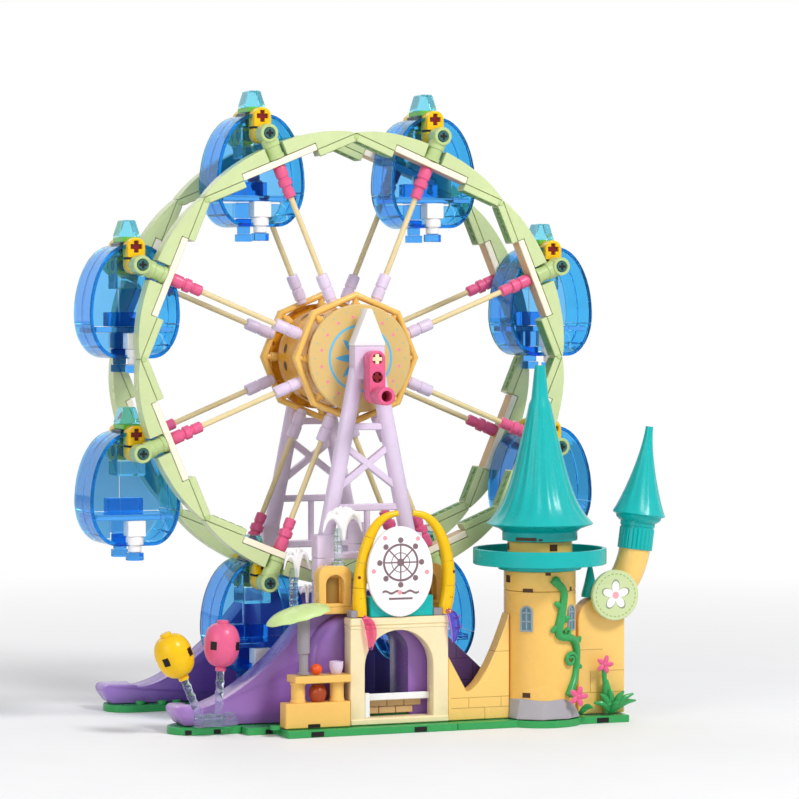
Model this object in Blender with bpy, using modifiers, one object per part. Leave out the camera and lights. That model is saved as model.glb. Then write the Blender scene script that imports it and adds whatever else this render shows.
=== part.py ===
"""Building block ferris wheel with eight gondolas, a hand crank, an entrance gate and a castle tower.

Sizes are in metres. X points right, Y to the back and Z up. The origin is on the underside of the base, below
the middle of the wheel, and the wheel's axle lies along Y.
"""

import math

import bmesh
import bpy
from mathutils import Matrix, Vector

# Building block system
STUD = 0.008
PLATE = 0.0032
TOUCH = 0.0003
PIN_RADIUS = 0.0024
PIN_PLAY = 0.0003

# Wheel rings
SEGMENTS = 8
PIVOT_RADIUS = 0.1072
RING_GAP = 0.032
RING_THICKNESS = 0.008
RING_PLATE = 0.0032
ARCH_RISE = 0.0064
ARCH_DROP = 0.0016
ARCH_POINTS = 4
TILE_LENGTH = 0.037
CONNECTOR_LENGTH = 0.0152
CONNECTOR_RADIUS = 0.0039
CONNECTOR_FORWARD = 0.0009
NOTCH_PLAY = 0.0004
HEAD_RADIUS = 0.0041
HEAD_LENGTH = 0.0086

# Hub
HUB_LENGTH = 0.0578
DISK_RADIUS = 0.024
DISK_THICKNESS = 0.0037
DRUM_RADIUS = 0.022
NECK_RADIUS = 0.012
FRAME_THICKNESS = 0.0044
FRAME_PLAY = 0.0004
FRAME_VERTEX_RADIUS = 0.0295
FRAME_BAR = 0.0034
FRAME_RIM = 0.0035
FRAME_SPOKE_WIDTH = 0.0032

# Spokes
CLIP_LENGTH = 0.0125
CLIP_RADIUS = 0.0031
ROD_RADIUS = 0.0015
SOCKET_LENGTH = 0.015
SOCKET_RADIUS = 0.0032

# Crank
CRANK_BUSH_LENGTH = 0.0015
CRANK_BUSH_RADIUS = 0.0034
CRANK_WIDTH = 0.0074
CRANK_THICKNESS = 0.0078
CRANK_HOLES = 3
HANDLE_LENGTH = 0.011
HANDLE_RADIUS = 0.004
HANDLE_HOLE_DEPTH = 0.007
END_BUSH_LENGTH = 0.004

# Gondolas, measured from the pivot
GONDOLA_PLAY = 0.0004
LEVER_WIDTH = 0.008
LEVER_THICKNESS = 0.008
CROSS_AXLE_RADIUS = 0.0022
SHELL_HALF_DEPTH = 0.0133
SHELL_HALF_WIDTH = 0.0205
SHELL_TOP = 0.009
SHELL_TOP_HALF = 0.003
SHELL_WIDEST = -0.022
SHELL_BOTTOM = -0.0408
SHELL_BOTTOM_HALF = 0.008
SHELL_WALL = 0.0016
SHELL_POINTS = 4
BLOCK_HALF_WIDTH = 0.0053
BLOCK_HEIGHT = 0.0088
CAP_HEIGHT = 0.0062
CAP_TOP_HALF = 0.003
FLOOR_TOP = -0.027
FLOOR_THICKNESS = 0.0025
SEAT_BRICK = 0.0096
FOOT_RADIUS = 0.004
FOOT_REACH = 0.0064
GROUND_CLEARANCE = 0.0048

# Stands
STAND_GAP = 0.0041
STAND_THICKNESS = 0.008
STAND_LEG_RADIUS = 0.0036
STAND_LEG_SPREAD = 0.2
STAND_LEG_OFFSET = 0.0036
STAND_BLOCK_HALF = 0.007
STAND_BLOCK_BELOW = 0.009
STAND_BLOCK_ABOVE = 0.0055
STAND_CAP_HEIGHT = 0.0165
STAND_CAP_TOP_HALF = 0.001
UPPER_RUNG_DROP = 0.030
CROSS_TOP_DROP = 0.038
CROSS_BOTTOM_DROP = 0.058
LOWER_RUNG_DROP = 0.0656
RUNG_THICKNESS = 0.003
CROSS_WIDTH = 0.0028
CROSS_DEPTH = 0.0036
POST_RADIUS = 0.0014
SILL_HEIGHT = 0.003
COLUMN_HEIGHT = 0.020
COLUMN_WIDTH = 0.008

# Mounds
MOUND_TOP = 0.054
WING_THICKNESS = 0.016
FRONT_WING_Y = -0.0348
REAR_WING_Y = 0.052
WING_SWEEP = 0.008
WING_SWEEP_START = -0.045
FRONT_NOSE_LEFT = -0.0875
REAR_NOSE_LEFT = -0.0945
NOSE_RIGHT = -0.080
NOSE_HEIGHT = 0.0085
SWOOP_LEFT = -0.079
SWOOP_RIGHT = -0.0255
SWOOP_START = 0.0075
SWOOP_POWER = 1.6
SWOOP_POINTS = 9
SLOPE_TOP = 0.020
SLOPE_FALL = 0.92
SHOULDER_LEFT = -0.028
SHOULDER_RIGHT = 0.033
SHOULDER_DEPTH = 0.0072
SHOULDER_DROP = 0.003
SHOULDER_ROUND = 0.006
REAR_BLOCK_DEPTH = 0.017
PASSAGE_LEFT = -0.008
PASSAGE_RIGHT = 0.0145
PASSAGE_HEIGHT = 0.041

# Base
BASE_LEFT = -0.060
BASE_RIGHT = 0.114
BASE_BACK = 0.062
BASE_FRONT = -0.0665
BASE_FRONT_LEFT = -0.047
BASE_STEP = -0.050
LOBE_RADIUS = 0.011
FRONT_LOBE_LEFT = -0.079
REAR_LOBE_LEFT = -0.083

# Gate
GATE_X = 0.0065
GATE_FRONT = -0.060
GATE_DEPTH = 0.008
GATE_WIDTH = 0.0484
GATE_TOP = 0.050
GATE_OPENING = 0.032
GATE_SILL = 0.0028
GATE_SPRING = 0.0249
LINTEL_HEIGHT = 0.0032
LINTEL_LIP = 0.0006
ARCH_STEPS = 12

# Sign and horns
SIGN_HALF_WIDTH = 0.0152
SIGN_HALF_HEIGHT = 0.0197
SIGN_THICKNESS = 0.0028
SIGN_BLOCK_WIDTH = 0.031
SIGN_BLOCK_SHIFT = 0.0025
SIGN_BLOCK_HEIGHT = 0.0095
SIGN_BLOCK_DEPTH = 0.006
HORN_RADIUS = 0.0034
HORN_TIP_RADIUS = 0.0012
HORN_SPREAD = 0.0204
HORN_BULGE = 0.0064
HORN_HEIGHT = 0.0448
HORN_TIP_GAP = 0.0035
HORN_POINTS = 7

# Arch gallery
GALLERY_LEFT = -0.027
GALLERY_RIGHT = 0.0315
WALKWAY_HEIGHT = 0.003
WINDOW_WIDTH = 0.015
WINDOW_HEIGHT = 0.018
WINDOW_ROUND = 0.0045
NICHE_WIDTH = 0.0084
NICHE_HEIGHT = 0.0125
NICHE_DEPTH = 0.0042
LAMP_POST_RADIUS = 0.0018
GALLERY_LAMP_X = -0.017
GALLERY_LAMP_HEIGHT = 0.0165
MOUND_LAMP_X = -0.0335
MOUND_LAMP_TOP = 0.0715
GALLERY_PLUME = (0.0092, 0.0028, 0.009)
MOUND_PLUME = (0.0060, 0.0028, 0.008)

# Castle tower
TOWER_X = 0.075
TOWER_RADIUS = 0.016
TOWER_NECK_RADIUS = 0.0144
TOWER_HEIGHT = 0.065
TOWER_NECK_HEIGHT = 0.013
ROCK_HEIGHT = 0.009
ROCK_RADIUS = 0.018
ROCK_TOP_RADIUS = 0.0162
ROCK_SHIFT = 0.0028
BALCONY_RADIUS = 0.0297
BALCONY_PLAY = 0.0007
BALCONY_WALL = 0.002
BALCONY_FLOOR = 0.0025
BALCONY_WALL_HEIGHT = 0.007
BALCONY_SKIRT_RADIUS = 0.0185
BALCONY_SKIRT_HEIGHT = 0.0024
ROOF_COLLAR_RADIUS = 0.0167
ROOF_COLLAR_HEIGHT = 0.006
ROOF_RADIUS = 0.0238
ROOF_RIM = 0.0014
ROOF_HEIGHT = 0.0700
ROOF_TIP_SHARE = 0.09
ROOF_POWER = 1.65
ROOF_POINTS = 5
VINE_RADIUS = 0.0017
VINE_STEPS = 3
VINE_KNOTS = (
    (-0.0008, 0.0618),
    (0.0046, 0.0560),
    (0.0034, 0.0465),
    (0.0022, 0.0372),
    (0.0100, 0.0350),
    (0.0130, 0.0290),
    (0.0120, 0.0190),
    (0.0075, 0.0100),
)

# Walls beside the tower
WALL_THICKNESS = 0.008
CURVED_WALL_HORN = 0.0275
CURVED_WALL_TALL = 0.0465
CURVED_WALL_DIP = 0.0125
CURVED_WALL_DIP_SHARE = 0.27
CURVED_WALL_POINTS = 7
SIDE_WALL_RIGHT = 0.1147
SIDE_WALL_HEIGHT = 0.052
SIDE_WALL_ROUND = 0.010
ELBOW_RADIUS = 0.007
ELBOW_SHIFT = -0.0068
ELBOW_BEND = 0.0284
ELBOW_HEADING = math.radians(52)
ELBOW_POINTS = 6
SIDE_LEAN = math.radians(7.5)
RIB_RADIUS = 0.0078
RIB_DEPTH = 0.0005
RIB_COUNT = 12
RIB_LENGTH = 0.0125
SIDE_ROOF_RADIUS = 0.0119
SIDE_ROOF_HEIGHT = 0.0395
SIDE_ROOF_COLLAR = 0.002
EMBLEM_RADIUS = 0.0113
EMBLEM_THICKNESS = 0.0024
EMBLEM_X = 0.108
EMBLEM_RAISE = 0.0012

# Booth and umbrella
BOOTH_LEFT = -0.0465
BOOTH_FRONT = -0.062
BOOTH_DEPTH = 0.008
BOOTH_PLINTH = 0.011
BOOTH_POST_HEIGHT = 0.0085
BOOTH_POST_RADIUS = 0.0032
BOOTH_BOARD = 0.0032
BOOTH_BOARD_LENGTH = 0.0245
BOOTH_BOARD_DEPTH = 0.0118
POT_RADIUS = 0.0038
POT_HEIGHT = 0.0070
POLE_X = -0.037
POLE_HEIGHT = 0.026
POLE_RADIUS = 0.0027
POLE_FOOT_RADIUS = 0.002
POLE_FOOT_HEIGHT = 0.009
CANOPY_RADII = (0.0146, 0.011, 0.005)
CANOPY_THICKNESS = 0.0013
CANOPY_SHIFT = -0.0023
CANOPY_TILT = math.radians(-13.5)

# Balloons
BALLOON_GAP = 0.0004
BALLOON_FOOT_RADIUS = 0.0034
BALLOON_FOOT_HEIGHT = 0.005
BALLOON_STEM_RADIUS = 0.0016
BALLOON_NECK_RADIUS = 0.0023
BALLOON_STUB_RADIUS = 0.0025
BALLOON_STUB_HEIGHT = 0.002
YELLOW_BALLOON = {"x": -0.0788, "stem": 0.0215, "radius": 0.0087, "height": 0.020, "lean": math.radians(-24)}
PINK_BALLOON = {"x": -0.0706, "stem": 0.0235, "radius": 0.0078, "height": 0.019, "lean": math.radians(3)}

# Places that follow from the sizes above
SEGMENT_ANGLE = 2 * math.pi / SEGMENTS
RING_Y = (RING_GAP + RING_THICKNESS) / 2
CHORD_RADIUS = PIVOT_RADIUS - CONNECTOR_LENGTH
LOWER_RADIUS = CHORD_RADIUS - RING_PLATE
RING_PLATE_RADIUS = CHORD_RADIUS + RING_PLATE
CROWN_RADIUS = RING_PLATE_RADIUS + ARCH_RISE
CORNER_RADIUS = CROWN_RADIUS - ARCH_DROP
NOTCH_HALF = CONNECTOR_RADIUS + NOTCH_PLAY
CONNECTOR_Y = RING_Y + CONNECTOR_FORWARD
BORE_RADIUS = PIN_RADIUS + PIN_PLAY

HUB_HALF = HUB_LENGTH / 2
DISK_BACK = HUB_HALF - DISK_THICKNESS
DRUM_HALF = DISK_BACK - FRAME_THICKNESS - 2 * FRAME_PLAY
FRAME_Y = (DISK_BACK + DRUM_HALF) / 2
FRAME_FLAT_RADIUS = FRAME_VERTEX_RADIUS * math.cos(SEGMENT_ANGLE / 2)
SPOKE_START = FRAME_FLAT_RADIUS + TOUCH
SPOKE_END = CHORD_RADIUS - TOUCH

STAND_BACK = HUB_HALF + STAND_GAP
STAND_Y = STAND_BACK + STAND_THICKNESS / 2
STAND_FRONT = STAND_BACK + STAND_THICKNESS
CRANK_BACK = STAND_FRONT + TOUCH + CRANK_BUSH_LENGTH
CRANK_FRONT = CRANK_BACK + CRANK_THICKNESS
CRANK_REACH = (CRANK_HOLES - 1) * STUD

LEVER_FACE = RING_GAP / 2 - GONDOLA_PLAY
LEVER_BACK = LEVER_FACE - LEVER_THICKNESS
BLOCK_HALF_DEPTH = LEVER_BACK - TOUCH
BLOCK_BOTTOM = STUD - BLOCK_HEIGHT / 2
BLOCK_TOP = STUD + BLOCK_HEIGHT / 2
SEAT_BRICK_BOTTOM = FLOOR_TOP - SEAT_BRICK
FOOT_BOTTOM = SHELL_BOTTOM - FOOT_REACH

BASE_TOP = PLATE
SEAT = BASE_TOP + TOUCH
HUB_HEIGHT = BASE_TOP + GROUND_CLEARANCE + PIVOT_RADIUS - FOOT_BOTTOM
COLUMN_BOTTOM = MOUND_TOP + TOUCH - HUB_HEIGHT
SILL_TOP = COLUMN_BOTTOM + COLUMN_HEIGHT + SILL_HEIGHT
FRONT_WING_FACE = FRONT_WING_Y - WING_THICKNESS / 2
SHOULDER_FRONT = FRONT_WING_FACE - SHOULDER_DEPTH
SHOULDER_TOP = MOUND_TOP - SHOULDER_DROP
HEAD_FRONT = CONNECTOR_Y + HEAD_LENGTH / 2
TOWER_Y = -(HEAD_FRONT + BALCONY_PLAY + BALCONY_RADIUS)
GATE_LEFT = GATE_X - GATE_WIDTH / 2
GATE_RIGHT = GATE_X + GATE_WIDTH / 2
GATE_SEAT = GATE_TOP + TOUCH

# Finishes: colour, roughness, metallic and opacity
FINISHES = {
    "light_green": ((0.72, 0.83, 0.42), 0.30, 0.0, 1.0),
    "leaf_green": ((0.10, 0.52, 0.22), 0.35, 0.0, 1.0),
    "gold": ((0.93, 0.60, 0.18), 0.30, 0.0, 1.0),
    "cream": ((0.93, 0.84, 0.60), 0.35, 0.0, 1.0),
    "yellow": ((0.98, 0.74, 0.02), 0.25, 0.0, 1.0),
    "pink": ((0.87, 0.25, 0.47), 0.30, 0.0, 1.0),
    "lavender": ((0.76, 0.66, 0.82), 0.30, 0.0, 1.0),
    "purple": ((0.38, 0.20, 0.60), 0.25, 0.0, 1.0),
    "teal": ((0.02, 0.58, 0.56), 0.30, 0.0, 1.0),
    "white": ((0.93, 0.93, 0.92), 0.30, 0.0, 1.0),
    "grey": ((0.40, 0.42, 0.44), 0.40, 0.0, 1.0),
    "clear_blue": ((0.10, 0.50, 0.90), 0.08, 0.0, 0.45),
}


def clear_scene():
    for obj in list(bpy.data.objects):
        bpy.data.objects.remove(obj, do_unlink=True)


def new_collection(name):
    collection = bpy.data.collections.new(name)
    bpy.context.scene.collection.children.link(collection)
    return collection


def new_material(name):
    colour, roughness, metallic, opacity = FINISHES[name]
    material = bpy.data.materials.new(name)
    material.use_nodes = True
    shader = material.node_tree.nodes["Principled BSDF"]
    shader.inputs["Base Color"].default_value = (*colour, 1)
    shader.inputs["Roughness"].default_value = roughness
    shader.inputs["Metallic"].default_value = metallic
    shader.inputs["Alpha"].default_value = opacity
    material.diffuse_color = (*colour, opacity)
    return material


clear_scene()
PARTS = new_collection("ferris_wheel")
SHAPES = new_collection("construction")
MATERIALS = {name: new_material(name) for name in FINISHES}


def linked(name, data):
    obj = bpy.data.objects.new(name, data)
    SHAPES.objects.link(obj)
    return obj


def from_bmesh(bm):
    mesh = bpy.data.meshes.new("shape")
    bm.to_mesh(mesh)
    bm.free()
    return linked("shape", mesh)


def as_mesh(obj):
    """The object as its modifiers or bevel make it, welded, with its place in the mesh."""
    bpy.context.view_layer.update()
    graph = bpy.context.evaluated_depsgraph_get()
    mesh = bpy.data.meshes.new_from_object(obj.evaluated_get(graph))
    mesh.transform(obj.matrix_world)
    bm = bmesh.new()
    bm.from_mesh(mesh)
    bmesh.ops.remove_doubles(bm, verts=bm.verts, dist=1e-6)
    bmesh.ops.recalc_face_normals(bm, faces=bm.faces)
    bm.to_mesh(mesh)
    bm.free()
    bpy.data.objects.remove(obj, do_unlink=True)
    return linked("shape", mesh)


def box(x, y, z):
    """A block between the two values of each pair."""
    bm = bmesh.new()
    size = [abs(pair[1] - pair[0]) for pair in (x, y, z)]
    middle = [sum(pair) / 2 for pair in (x, y, z)]
    bmesh.ops.create_cube(bm, size=1, matrix=Matrix.Translation(middle) @ Matrix.Diagonal((*size, 1)))
    return from_bmesh(bm)


def bar(start, end, radius, sides=8, end_radius=None):
    """A round or tapered rod between two points."""
    start, end = Vector(start), Vector(end)
    along = end - start
    turn = Vector((0, 0, 1)).rotation_difference(along).to_matrix().to_4x4()
    bm = bmesh.new()
    bmesh.ops.create_cone(
        bm,
        cap_ends=True,
        segments=sides,
        radius1=radius,
        radius2=radius if end_radius is None else end_radius,
        depth=along.length,
        matrix=Matrix.Translation((start + end) / 2) @ turn,
    )
    return from_bmesh(bm)


def ball(middle, radii, segments=16, rings=10, turn=None):
    bm = bmesh.new()
    matrix = Matrix.Translation(middle) @ (turn or Matrix()) @ Matrix.Diagonal((*radii, 1))
    bmesh.ops.create_uvsphere(bm, u_segments=segments, v_segments=rings, radius=1, matrix=matrix)
    return from_bmesh(bm)


def outline_curve(outlines, thickness):
    curve = bpy.data.curves.new("outline", "CURVE")
    curve.dimensions = "2D"
    curve.fill_mode = "BOTH"
    curve.extrude = thickness / 2
    for outline in outlines:
        spline = curve.splines.new("POLY")
        spline.points.add(len(outline) - 1)
        for point, (across, up) in zip(spline.points, outline):
            point.co = (across, up, 0, 1)
        spline.use_cyclic_u = True
    return linked("outline", curve)


def slab(outlines, y):
    """A flat piece with XZ outlines, the outer one first, between two Y values."""
    obj = outline_curve(outlines, abs(y[1] - y[0]))
    obj.matrix_world = Matrix.Translation((0, sum(y) / 2, 0)) @ Matrix.Rotation(math.pi / 2, 4, "X")
    return as_mesh(obj)


def strip(start, end, width, y):
    """A flat bar between two XZ points and two Y values."""
    start, end = Vector(start), Vector(end)
    side = (end - start).normalized().orthogonal() * width / 2
    return slab([[start + side, start - side, end - side, end + side]], y)


def turned(profile, steps=24, closed=False):
    """A shape turned about Z from (radius, height) points that run down its outer side."""
    mesh = bpy.data.meshes.new("profile")
    edges = [(i, i + 1) for i in range(len(profile) - 1)]
    if closed:
        edges.append((len(profile) - 1, 0))
    mesh.from_pydata([(radius, 0, height) for radius, height in profile], edges, [])
    obj = linked("profile", mesh)
    screw = obj.modifiers.new("turn", "SCREW")
    screw.steps = screw.render_steps = steps
    screw.use_merge_vertices = True
    screw.merge_threshold = 1e-6
    return as_mesh(obj)


def tube(points, radii, resolution=2):
    """A round bar along points, with a radius at each."""
    curve = bpy.data.curves.new("path", "CURVE")
    curve.dimensions = "3D"
    curve.bevel_depth = 1
    curve.bevel_resolution = resolution
    curve.use_fill_caps = True
    spline = curve.splines.new("POLY")
    spline.points.add(len(points) - 1)
    for point, place, radius in zip(spline.points, points, radii):
        point.co = (*place, 1)
        point.radius = radius
    return as_mesh(linked("path", curve))


def moved(shape, matrix):
    shape.data.transform(matrix)
    return shape


def rounded(shape, width, chosen, steps=3):
    """Bevels the edges whose two ends pass the test."""
    bm = bmesh.new()
    bm.from_mesh(shape.data)
    edges = [edge for edge in bm.edges if chosen(*(vert.co for vert in edge.verts))]
    bmesh.ops.bevel(bm, geom=edges, offset=width, segments=steps, profile=0.5, affect="EDGES")
    bm.to_mesh(shape.data)
    bm.free()
    return shape


def fused(shapes, holes=()):
    """One solid from shapes that overlap, less the holes."""
    body = shapes[0]
    steps = [("UNION", shape) for shape in shapes[1:]] + [("DIFFERENCE", hole) for hole in holes]
    for operation, other in steps:
        boolean = body.modifiers.new(operation.lower(), "BOOLEAN")
        boolean.operation = operation
        boolean.object = other
    whole = as_mesh(body)
    for _, other in steps:
        bpy.data.objects.remove(other, do_unlink=True)
    return whole


def solid(shape, finish):
    """The shape's mesh, smooth where it is round, with its finish."""
    mesh = shape.data
    bpy.data.objects.remove(shape, do_unlink=True)
    mesh.materials.clear()
    mesh.materials.append(MATERIALS[finish])
    mesh.shade_smooth()
    mesh.set_sharp_from_angle(angle=math.radians(35))
    return mesh


def part(name, mesh, parent=None, at=(0, 0, 0), turn=(0, 0, 0)):
    obj = bpy.data.objects.new(name, mesh)
    PARTS.objects.link(obj)
    obj.parent = parent
    obj.location = at
    obj.rotation_euler = turn
    return obj


def axis(name, at, parent=None):
    empty = bpy.data.objects.new(name, None)
    empty.empty_display_size = STUD
    PARTS.objects.link(empty)
    empty.parent = parent
    empty.location = at
    return empty


def polar(radius, angle):
    return radius * math.cos(angle), radius * math.sin(angle)


def arc(middle, radius, start, end, steps):
    """Points on an arc in the XZ plane, both ends included."""
    angles = [start + (end - start) * i / steps for i in range(steps + 1)]
    return [(middle[0] + radius * math.cos(a), middle[1] + radius * math.sin(a)) for a in angles]


def on_segment(index, along, out):
    """A point of a ring segment, given along its chord and outwards from the hub."""
    middle = SEGMENT_ANGLE * (index + 0.5)
    across, up = polar(out, middle)
    return across - along * math.sin(middle), up + along * math.cos(middle)


def ring_outer_outline():
    points = []
    half = SEGMENT_ANGLE / 2
    notch = math.atan2(NOTCH_HALF, CROWN_RADIUS)
    shares = [1 - (1 - notch / half) * i / (ARCH_POINTS - 1) for i in range(ARCH_POINTS)]
    for index in range(SEGMENTS):
        middle = SEGMENT_ANGLE * (index + 0.5)
        radii = [CROWN_RADIUS - ARCH_DROP * share**4 for share in shares]
        first = [polar(radius, middle - half * share) for radius, share in zip(radii, shares)]
        second = [polar(radius, middle + half * share) for radius, share in zip(radii, shares)]
        points += first
        points += [on_segment(index, side * NOTCH_HALF, RING_PLATE_RADIUS) for side in (-1, 1)]
        points += second[:0:-1]
    return points


def ring_inner_outline():
    points = []
    corner = LOWER_RADIUS / math.cos(SEGMENT_ANGLE / 2)
    tile_half = TILE_LENGTH / 2
    for index in range(SEGMENTS):
        points.append(polar(corner, SEGMENT_ANGLE * index))
        points += [on_segment(index, -tile_half, radius) for radius in (LOWER_RADIUS, CHORD_RADIUS)]
        points += [on_segment(index, tile_half, radius) for radius in (CHORD_RADIUS, LOWER_RADIUS)]
    return points


def pivot_place(index):
    across, up = polar(PIVOT_RADIUS, SEGMENT_ANGLE * (index + 0.5))
    return Vector((across, 0, up))


def ring_shape():
    """The front ring: eight bow segments with their plates and tiles, and a hanger connector on each."""
    body = slab(
        [ring_outer_outline(), ring_inner_outline()],
        (-RING_Y - RING_THICKNESS / 2, -RING_Y + RING_THICKNESS / 2),
    )
    forward = Vector((0, -CONNECTOR_Y, 0))
    reach = Vector((0, HEAD_LENGTH / 2, 0))
    shapes, holes = [body], []
    for index in range(SEGMENTS):
        pivot = pivot_place(index)
        foot = pivot.normalized() * (RING_PLATE_RADIUS - RING_PLATE / 2)
        shapes.append(bar(foot + forward, pivot + forward, CONNECTOR_RADIUS))
        shapes.append(bar(pivot + forward - reach, pivot + forward + reach, HEAD_RADIUS))
        holes.append(bar(pivot + forward - 2 * reach, pivot + forward + 2 * reach, BORE_RADIUS))
    return fused(shapes, holes)


def spoke_shape():
    """One spoke along X from the hub frame to the ring's tile: clip, rod and socket."""
    profile = [
        (0, SPOKE_END),
        (SOCKET_RADIUS, SPOKE_END),
        (SOCKET_RADIUS, SPOKE_END - SOCKET_LENGTH),
        (ROD_RADIUS, SPOKE_END - SOCKET_LENGTH),
        (ROD_RADIUS, SPOKE_START + CLIP_LENGTH),
        (CLIP_RADIUS, SPOKE_START + CLIP_LENGTH),
        (CLIP_RADIUS, SPOKE_START),
        (0, SPOKE_START),
    ]
    return moved(turned(profile, steps=8), Matrix.Rotation(math.pi / 2, 4, "Y"))


def drum_shape():
    half = [
        (DISK_RADIUS, HUB_HALF),
        (DISK_RADIUS, DISK_BACK),
        (NECK_RADIUS, DISK_BACK),
        (NECK_RADIUS, DRUM_HALF),
        (DRUM_RADIUS, DRUM_HALF),
    ]
    profile = half + [(radius, -height) for radius, height in reversed(half)]
    profile += [(BORE_RADIUS, -HUB_HALF), (BORE_RADIUS, HUB_HALF)]
    return moved(turned(profile, steps=24, closed=True), Matrix.Rotation(math.pi / 2, 4, "X"))


def hub_frame_shape():
    """The front octagonal bar frame, round the drum's neck."""
    y = (-FRAME_Y - FRAME_THICKNESS / 2, -FRAME_Y + FRAME_THICKNESS / 2)
    corners = [SEGMENT_ANGLE * index for index in range(SEGMENTS)]
    inner = FRAME_VERTEX_RADIUS - FRAME_BAR / math.cos(SEGMENT_ANGLE / 2)
    rim_inner = NECK_RADIUS + TOUCH
    rim_outer = rim_inner + FRAME_RIM
    shapes = [slab([[polar(r, a) for a in corners] for r in (FRAME_VERTEX_RADIUS, inner)], y)]
    round_outline = [2 * math.pi * step / 16 for step in range(16)]
    rim_inset = (y[0] + FRAME_PLAY, y[1] - FRAME_PLAY)
    spoke_inset = (y[0] + 2 * FRAME_PLAY, y[1] - 2 * FRAME_PLAY)
    shapes.append(slab([[polar(r, a) for a in round_outline] for r in (rim_outer, rim_inner)], rim_inset))
    for angle in corners:
        ends = [polar(radius, angle) for radius in (rim_outer - FRAME_RIM / 2, inner + FRAME_BAR / 2)]
        shapes.append(strip(*ends, FRAME_SPOKE_WIDTH, spoke_inset))
    return fused(shapes)


def axle_shape():
    end = STAND_FRONT + TOUCH
    return fused(
        [
            bar((0, -CRANK_FRONT + TOUCH, 0), (0, end + END_BUSH_LENGTH / 2, 0), PIN_RADIUS, 12),
            bar((0, end, 0), (0, end + END_BUSH_LENGTH, 0), CRANK_BUSH_RADIUS, 12),
        ]
    )


def beam_outline(width, reach):
    """A beam with round ends, from its first hole at the origin down to its last."""
    half = width / 2
    return arc((0, 0), half, 0, math.pi, 6) + arc((0, -reach), half, math.pi, 2 * math.pi, 6)


def crank_arm_shape():
    arm = slab([beam_outline(CRANK_WIDTH, CRANK_REACH)], (-CRANK_FRONT, -CRANK_BACK))
    bush_start = (0, -CRANK_BACK - CRANK_THICKNESS / 4, 0)
    bush = bar(bush_start, (0, -STAND_FRONT - TOUCH, 0), CRANK_BUSH_RADIUS, 12)
    holes = []
    for index in range(CRANK_HOLES):
        ends = [(0, -CRANK_FRONT - STUD, -index * STUD), (0, -STAND_FRONT + STUD, -index * STUD)]
        holes.append(bar(*ends, BORE_RADIUS, 12))
    return fused([arm, bush], holes)


def crank_handle_shape():
    """The handle along Y, with its pin in the arm's last hole and a hole in its free end."""
    face = CRANK_FRONT + TOUCH
    profile = [
        (0, face + HANDLE_LENGTH - HANDLE_HOLE_DEPTH),
        (PIN_RADIUS, face + HANDLE_LENGTH - HANDLE_HOLE_DEPTH),
        (PIN_RADIUS, face + HANDLE_LENGTH),
        (HANDLE_RADIUS, face + HANDLE_LENGTH),
        (HANDLE_RADIUS, face),
        (PIN_RADIUS, face),
        (PIN_RADIUS, CRANK_BACK),
        (0, CRANK_BACK),
    ]
    return moved(turned(profile, steps=12), Matrix.Rotation(math.pi / 2, 4, "X"))


def shell_outline(inset):
    """The gondola's egg-shaped outline, drawn in by the inset."""
    angles = [math.pi / 2 * step / SHELL_POINTS for step in range(SHELL_POINTS + 1)]
    wide = SHELL_HALF_WIDTH - inset
    upper = [
        (
            SHELL_TOP_HALF + (wide - SHELL_TOP_HALF) * math.sin(angle),
            SHELL_WIDEST + (SHELL_TOP - inset - SHELL_WIDEST) * math.cos(angle),
        )
        for angle in angles
    ]
    lower = [
        (
            SHELL_BOTTOM_HALF + (wide - SHELL_BOTTOM_HALF) * math.cos(angle),
            SHELL_WIDEST + (SHELL_BOTTOM + inset - SHELL_WIDEST) * math.sin(angle),
        )
        for angle in angles[1:]
    ]
    right = upper + lower
    return right + [(-across, up) for across, up in reversed(right)]


def shell_half_width_at(height):
    """Half the shell's outer width at a height below its widest place."""
    rise = (height - SHELL_WIDEST) / (SHELL_BOTTOM - SHELL_WIDEST)
    return SHELL_BOTTOM_HALF + (SHELL_HALF_WIDTH - SHELL_BOTTOM_HALF) * math.sqrt(1 - rise**2)


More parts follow.
